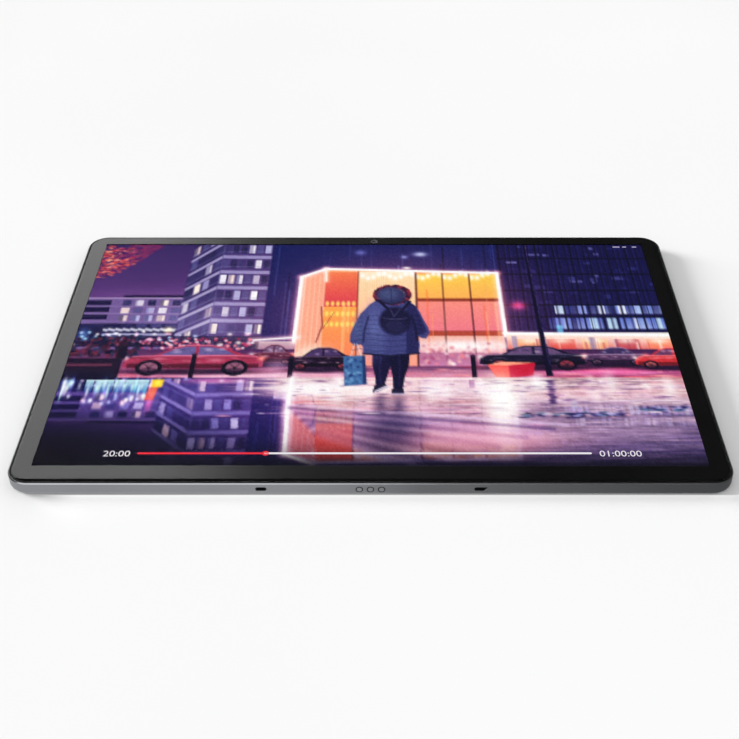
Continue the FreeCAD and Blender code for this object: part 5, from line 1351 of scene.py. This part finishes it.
def make_picture(light):
    """The display, its upper face a fine grid that carries the painted colours."""
    low, _ = box_mm("display_panel")
    half_x, half_y = CASE_HALF.x - PICTURE_INSET, CASE_HALF.y - PICTURE_INSET
    across, down = GRID_COLUMNS + 1, GRID_ROWS + 1
    points = [(half_x * (2 * column / GRID_COLUMNS - 1),
               half_y * (1 - 2 * row / GRID_ROWS) + PICTURE_MIDDLE, PICTURE_TOP)
              for row in range(down) for column in range(across)]
    faces = []
    for row in range(GRID_ROWS):
        for corner in range(row * across, row * across + GRID_COLUMNS):
            faces.append((corner, corner + across, corner + across + 1, corner + 1))
    rim = list(range(across)) + [row * across + across - 1 for row in range(1, down)]
    rim += [GRID_ROWS * across + column for column in range(across - 2, -1, -1)]
    rim += [row * across for row in range(GRID_ROWS - 1, 0, -1)]
    base = len(points)
    points += [(points[corner][0], points[corner][1], low.z) for corner in rim]
    for step, corner in enumerate(rim):
        after = (step + 1) % len(rim)
        faces.append((corner, rim[after], base + after, base + step))
    faces.append(tuple(range(base, base + len(rim))))
    hidden = ["display_panel", "optical_adhesive"]
    display = new_piece("display", (points, faces), light, hidden, 30)
    colours = np.zeros((len(points), 4), np.float32)
    colours[:base, :3] = linear(paint_picture().reshape(-1, 3))
    colours[:, 3] = 1
    layer = display.data.color_attributes.new("picture", "FLOAT_COLOR", "POINT")
    layer.data.foreach_set("color", colours.ravel())


def screen_spot(u, v):
    """A place on the display in millimetres, from shares across it and down it."""
    return ((2 * u - 1) * (CASE_HALF.x - PICTURE_INSET),
            (1 - 2 * v) * (CASE_HALF.y - PICTURE_INSET) + PICTURE_MIDDLE)


def make_bar(name, start, end, down, width, material):
    """A thin lit bar with round ends on the display, from start to end across it."""
    (x_start, y), (x_end, _) = screen_spot(start, down), screen_spot(end, down)
    bar = upright(slot_shape(x_end - x_start + width, width), OVERLAY_LEVELS, ((x_start + x_end) / 2, y))
    new_piece(name, bar, material)


def make_text(name, text, across, material):
    """Lit figures beside the progress line, their left end at a share across the display."""
    curve = bpy.data.curves.new(name, "FONT")
    curve.body = text
    curve.size = FIGURE_SIZE * MM
    curve.extrude = (OVERLAY_LEVELS[1] - OVERLAY_LEVELS[0]) / 2 * MM
    curve.resolution_u = 4
    letters = add_object(name + "_curve", curve)
    mesh = bpy.data.meshes.new_from_object(letters.evaluated_get(bpy.context.evaluated_depsgraph_get()))
    bpy.data.objects.remove(letters)
    x, y = screen_spot(across, LINE_DOWN + 0.011)
    points = [(vertex.co.x / MM + x, vertex.co.y / MM + y, vertex.co.z / MM + sum(OVERLAY_LEVELS) / 2)
              for vertex in mesh.vertices]
    faces = [tuple(face.vertices) for face in mesh.polygons]
    new_piece(name, (points, faces), material)


def make_playback_marks():
    """The film's progress line with its times and a few status marks, all generic."""
    red = overlay_light("played_light", (235, 40, 58))
    white = overlay_light("white_light", (236, 232, 238))
    make_bar("playback_line_left", PLAYED_TO, LINE_TO, LINE_DOWN, 1.0, white)
    make_bar("playback_line_played", LINE_FROM, PLAYED_TO - 0.006, LINE_DOWN, 1.0, red)
    make_bar("playback_knob", PLAYED_TO, PLAYED_TO + 0.0001, LINE_DOWN, 2.6, red)
    make_text("time_played", "20:00", 0.101, white)
    make_text("time_total", "01:00:00", 0.84, white)
    faint = overlay_light("status_light", (176, 168, 200))
    for mark, width in enumerate((0.01, 0.004, 0.005)):
        across = 0.946 + mark * 0.018
        make_bar(f"status_mark_{mark}", across, across + width, 0.014, 0.9, faint)


def make_front_camera_ring(trim):
    """The thin grey ring just inside the border's camera hole."""
    base = box_mm("front_camera")[1].z
    top = box_mm("black_border")[0].z + SEEN_RISE
    profile = [(BORDER_HOLE - 0.75, base), (BORDER_HOLE - 0.08, base), (BORDER_HOLE - 0.08, top),
               (BORDER_HOLE - 0.4, top)]
    ring = swept(lathed(profile, centre_mm("front_camera_lens")), closed=True)
    new_piece("front_camera_ring", ring, trim)


def make_port_contacts(gold):
    """The gold contact strips on both faces of the port's tongue."""
    low, high = box_mm("usb_port_tongue")
    strip = [(low.x + 1.6, -0.12), (high.x - 0.5, -0.12), (high.x - 0.35, 0), (high.x - 0.5, 0.12),
             (low.x + 1.6, 0.12)]
    points, faces = [], []
    for place in range(12):
        for levels in ((high.z, high.z + 0.04), (low.z - 0.04, low.z)):
            strip_points, strip_faces = upright(strip, levels, (0, (place - 5.5) * 0.5))
            faces += [tuple(len(points) + corner for corner in face) for face in strip_faces]
            points += strip_points
    new_piece("usb_tongue_contacts", (points, faces), gold)


def make_rear_camera(node_name, piece_name, barrel, materials):
    """A rear camera seen from behind: stepped metal barrel, retaining ring and domed lens."""
    low, high = box_mm(node_name)
    middle = centre_mm(node_name)
    base, foot = low.z + 0.5, low.z
    half_x, half_y = (high.x - low.x) / 2, (high.y - low.y) / 2
    levels = ((0.97, base), (1.0, base + 0.12), (1.0, high.z - 0.12), (0.97, high.z))
    housing = [[(middle.x + x * half_x * size, middle.y + y * half_y * size, height) for x, y in SQUARE]
               for size, height in levels]
    steps = [(barrel, base + 0.1), (barrel, foot + 0.05), (barrel - 0.06, foot), (barrel - 0.42, foot),
             (barrel - 0.5, foot + 0.1), (barrel - 0.75, foot + 0.12), (barrel - 0.82, foot + 0.26),
             (barrel - 1.15, foot + 0.28), (barrel - 1.2, foot + 0.5), (barrel - 1.2, base + 0.1)]
    lens_radius = barrel - 1.22
    dome = [(lens_radius, base)]
    for step in range(9):
        turn = math.radians(90 * step / 8)
        dome.append((max(lens_radius * math.cos(turn), 0.02), foot + 0.44 - 0.26 * math.sin(turn)))
    for part, shape, slot, replaced in (
            ("_module", swept(housing), "camera_plastic", [node_name]),
            ("_barrel", swept(lathed(steps, middle, 64), closed=True), "trim_metal", []),
            ("_lens", swept(lathed(dome, middle)), "lens_glass", [])):
        new_piece(piece_name + part, shape, materials[slot], replaced)


def make_window_ink(ink):
    """The black ink printed behind the rear window, open round both lenses."""
    low, high = box_mm("rear_camera_window")
    levels = (high.z + 0.01, high.z + 0.04)
    shape = slot_shape(high.x - low.x, high.y - low.y, 24)
    sheet = upright(shape, levels, centre_mm("rear_camera_window"))
    printed = new_piece("rear_window_ink", sheet, ink)
    holes = [bore(barrel + INK_CLEARANCE, *levels, centre_mm(name))
             for name, barrel in (("rear_camera_main", MAIN_BARREL), ("rear_camera_wide", WIDE_BARREL))]
    cut_away(printed, holes, ink)


def dress_cad_nodes(materials):
    """Gives each shown CAD node the material of its slot."""
    for part in frame["record"]["subparts"]:
        material = materials.get(part["material_slot"])
        if material is None:
            continue
        for slot in frame["nodes"][part["node"]].material_slots:
            slot.link = "OBJECT"
            slot.material = material


# ---- floor, light and camera ----

def make_floor():
    """A pale floor with a hole under the flat back, clear from below. Some of its light is painted: a glow
    in a strip in front of the front edge lightens the casing's shadow there, and mirrored rays see a painted
    reflection, a glow that darkens towards the right.
    """
    material, tree, shader = new_material("floor_paint")
    tree.nodes.remove(shader)
    place = node(tree, "SeparateXYZ", {"Vector": place_in(tree)}).outputs
    # Painted reflection: mirrored rays see the floor as a glow set by its place across, mostly darker
    # towards the right, instead of the lit floor.
    across = mapped(tree, place["X"], -FLOOR_SPAN, FLOOR_SPAN, kind="LINEAR")
    stops = [((x + FLOOR_SPAN) / (2 * FLOOR_SPAN), grey) for x, grey in FLOOR_PAINTED_REFLECTION]
    mirrored = ramp(tree, across, stops)
    diffuse = node(tree, "BsdfDiffuse", {"Color": uneven(tree, 300, 0.8, 0.82)})
    # Painted light: a glow on the floor in front of the front edge lightens the casing's shadow there.
    ahead = maths(tree, "MAXIMUM", maths(tree, "SUBTRACT", CASE_LOW.y * MM, place["Y"]), 0.0)
    fading = maths(tree, "EXPONENT", maths(tree, "DIVIDE", ahead, -FRONT_GLOW_REACH * MM))
    in_front = mapped(tree, ahead, 0.0, 0.4 * MM)
    left_end = mapped(tree, place["X"], -FRONT_GLOW_END, FRONT_GLOW_FADE - FRONT_GLOW_END)
    right_end = mapped(tree, place["X"], FRONT_GLOW_END, FRONT_GLOW_END + FRONT_GLOW_FADE, 1.0, 0.0)
    leftness = mapped(tree, place["X"], -0.03, 0.12, FRONT_GLOW, FRONT_GLOW_RIGHT)
    lift = maths(tree, "MULTIPLY", fading, in_front, leftness, left_end, right_end)
    painted_front_light = node(tree, "Emission", {"Color": (1, 1, 1, 1), "Strength": lift})
    paint = node(tree, "AddShader", {0: diffuse.outputs[0], 1: painted_front_light.outputs[0]})
    glow = node(tree, "Emission", {"Color": mirrored, "Strength": 1.0})
    glossy = node(tree, "LightPath").outputs["Is Glossy Ray"]
    facing = node(tree, "NewGeometry").outputs["Backfacing"]
    clear = node(tree, "BsdfTransparent")
    above = node(tree, "MixShader", {0: glossy, 1: paint.outputs[0], 2: glow.outputs[0]})
    surface(tree, node(tree, "MixShader", {0: facing, 1: above.outputs[0], 2: clear.outputs[0]}))
    hole = [(x, y, FLOOR_LEVEL) for x, y in outline(UNDER_RADIUS + 1.5)]
    edge = []
    for x, y, z in hole:
        reach = FLOOR_REACH / max(abs(x) / CASE_HALF.x, abs(y) / CASE_HALF.y)
        edge.append((x * reach, y * reach, z))
    add_object("floor", mesh_of("floor", swept([edge, hole], caps=False), material))


def make_world():
    """Soft white surroundings; mirrored rays see a light panel on the left and a dark room behind."""
    world = bpy.data.worlds.new("studio")
    bpy.context.scene.world = world
    world.use_nodes = True
    tree = world.node_tree
    tree.nodes.clear()
    way = node(tree, "SeparateXYZ", {"Vector": node(tree, "TexCoord").outputs["Generated"]}).outputs
    across = mapped(tree, way["X"], -1, 1, kind="LINEAR")
    behind, ahead = (ramp(tree, across, [((x + 1) / 2, grey) for x, grey in stops])
                     for stops in (MIRRORED_BEHIND, MIRRORED_AHEAD))
    below = mapped(tree, way["Z"], *PANEL_TOP, 1.0, 0.0)
    beside = mapped(tree, way["X"], *PANEL_SIDE)
    above = mapped(tree, way["Z"], *PANEL_FOOT)
    lit_behind = maths(tree, "MAXIMUM", maths(tree, "MULTIPLY", behind, below, beside, above), DARK_ROOM)
    side = mapped(tree, way["Y"], *PANEL_AHEAD)
    sides = {"Factor": side, "A": ahead, "B": lit_behind}
    mirrored = node(tree, "Mix", sides, data_type="RGBA").outputs["Result"]
    room, soft, pale = (node(tree, "Background", {"Color": colour, "Strength": strength}).outputs[0]
                        for colour, strength in ((mirrored, MIRROR_STRENGTH), ((1, 1, 1, 1), SKY_STRENGTH),
                                                 ((0.95, 0.95, 0.95, 1), 1.0)))
    path = node(tree, "LightPath").outputs
    lit = node(tree, "MixShader", {0: path["Is Glossy Ray"], 1: soft, 2: room})
    seen = node(tree, "MixShader", {0: path["Is Camera Ray"], 1: lit.outputs[0], 2: pale})
    node(tree, "OutputWorld", {"Surface": seen.outputs[0]})


def make_sun():
    """A broad low light from the left and a little behind, for the soft shadow on the right.

    Mirrored rays don't see it: what metal and glass reflect is the world's own panel."""
    lamp = bpy.data.lights.new("key_light", "SUN")
    lamp.energy = SUN_STRENGTH
    lamp.angle = math.radians(SUN_SOFTNESS)
    sun = add_object("key_light", lamp)
    sun.rotation_euler = (math.radians(90 - SUN_HEIGHT), 0, math.radians(-90 - SUN_TURN))
    sun.visible_glossy = False


def make_camera():
    """The view from in front and above."""
    lens = bpy.data.cameras.new("camera")
    lens.lens = CAMERA_LENS
    lens.shift_x = CAMERA_SHIFT
    lens.clip_start = 0.01
    camera = add_object("camera", lens)
    camera.location = CAMERA_PLACE
    camera.rotation_euler = (math.radians(90 - CAMERA_PITCH), 0, 0)
    bpy.context.scene.camera = camera


def make_everything():
    """Builds every piece of the tablet and the studio round it."""
    materials = slot_materials()
    make_casing(case_metal(), bright_cut_metal())
    tones = ((0.006, 0.006, 0.007), (0.003, 0.003, 0.004))
    make_screen_frame(moulded("frame_plastic", *tones, (0.45, 0.6), 0.15))
    make_glass(glass_over("cover_glass", 1.0, clear_part=0.03))
    ink = border_ink()
    make_border(ink)
    make_picture(picture_light())
    make_playback_marks()
    tones = ((0.1, 0.1, 0.11), (0.07, 0.07, 0.08))
    make_front_camera_ring(moulded("camera_ring_plastic", *tones, (0.3, 0.4)))
    make_port_contacts(gold_plate())
    make_rear_camera("rear_camera_main", "rear_main_camera", MAIN_BARREL, materials)
    make_rear_camera("rear_camera_wide", "rear_wide_camera", WIDE_BARREL, materials)
    make_window_ink(ink)
    dress_cad_nodes(materials)
    make_floor()
    make_world()
    make_sun()
    make_camera()


bpy.context.scene.view_settings.view_transform = "Standard"
make_everything()
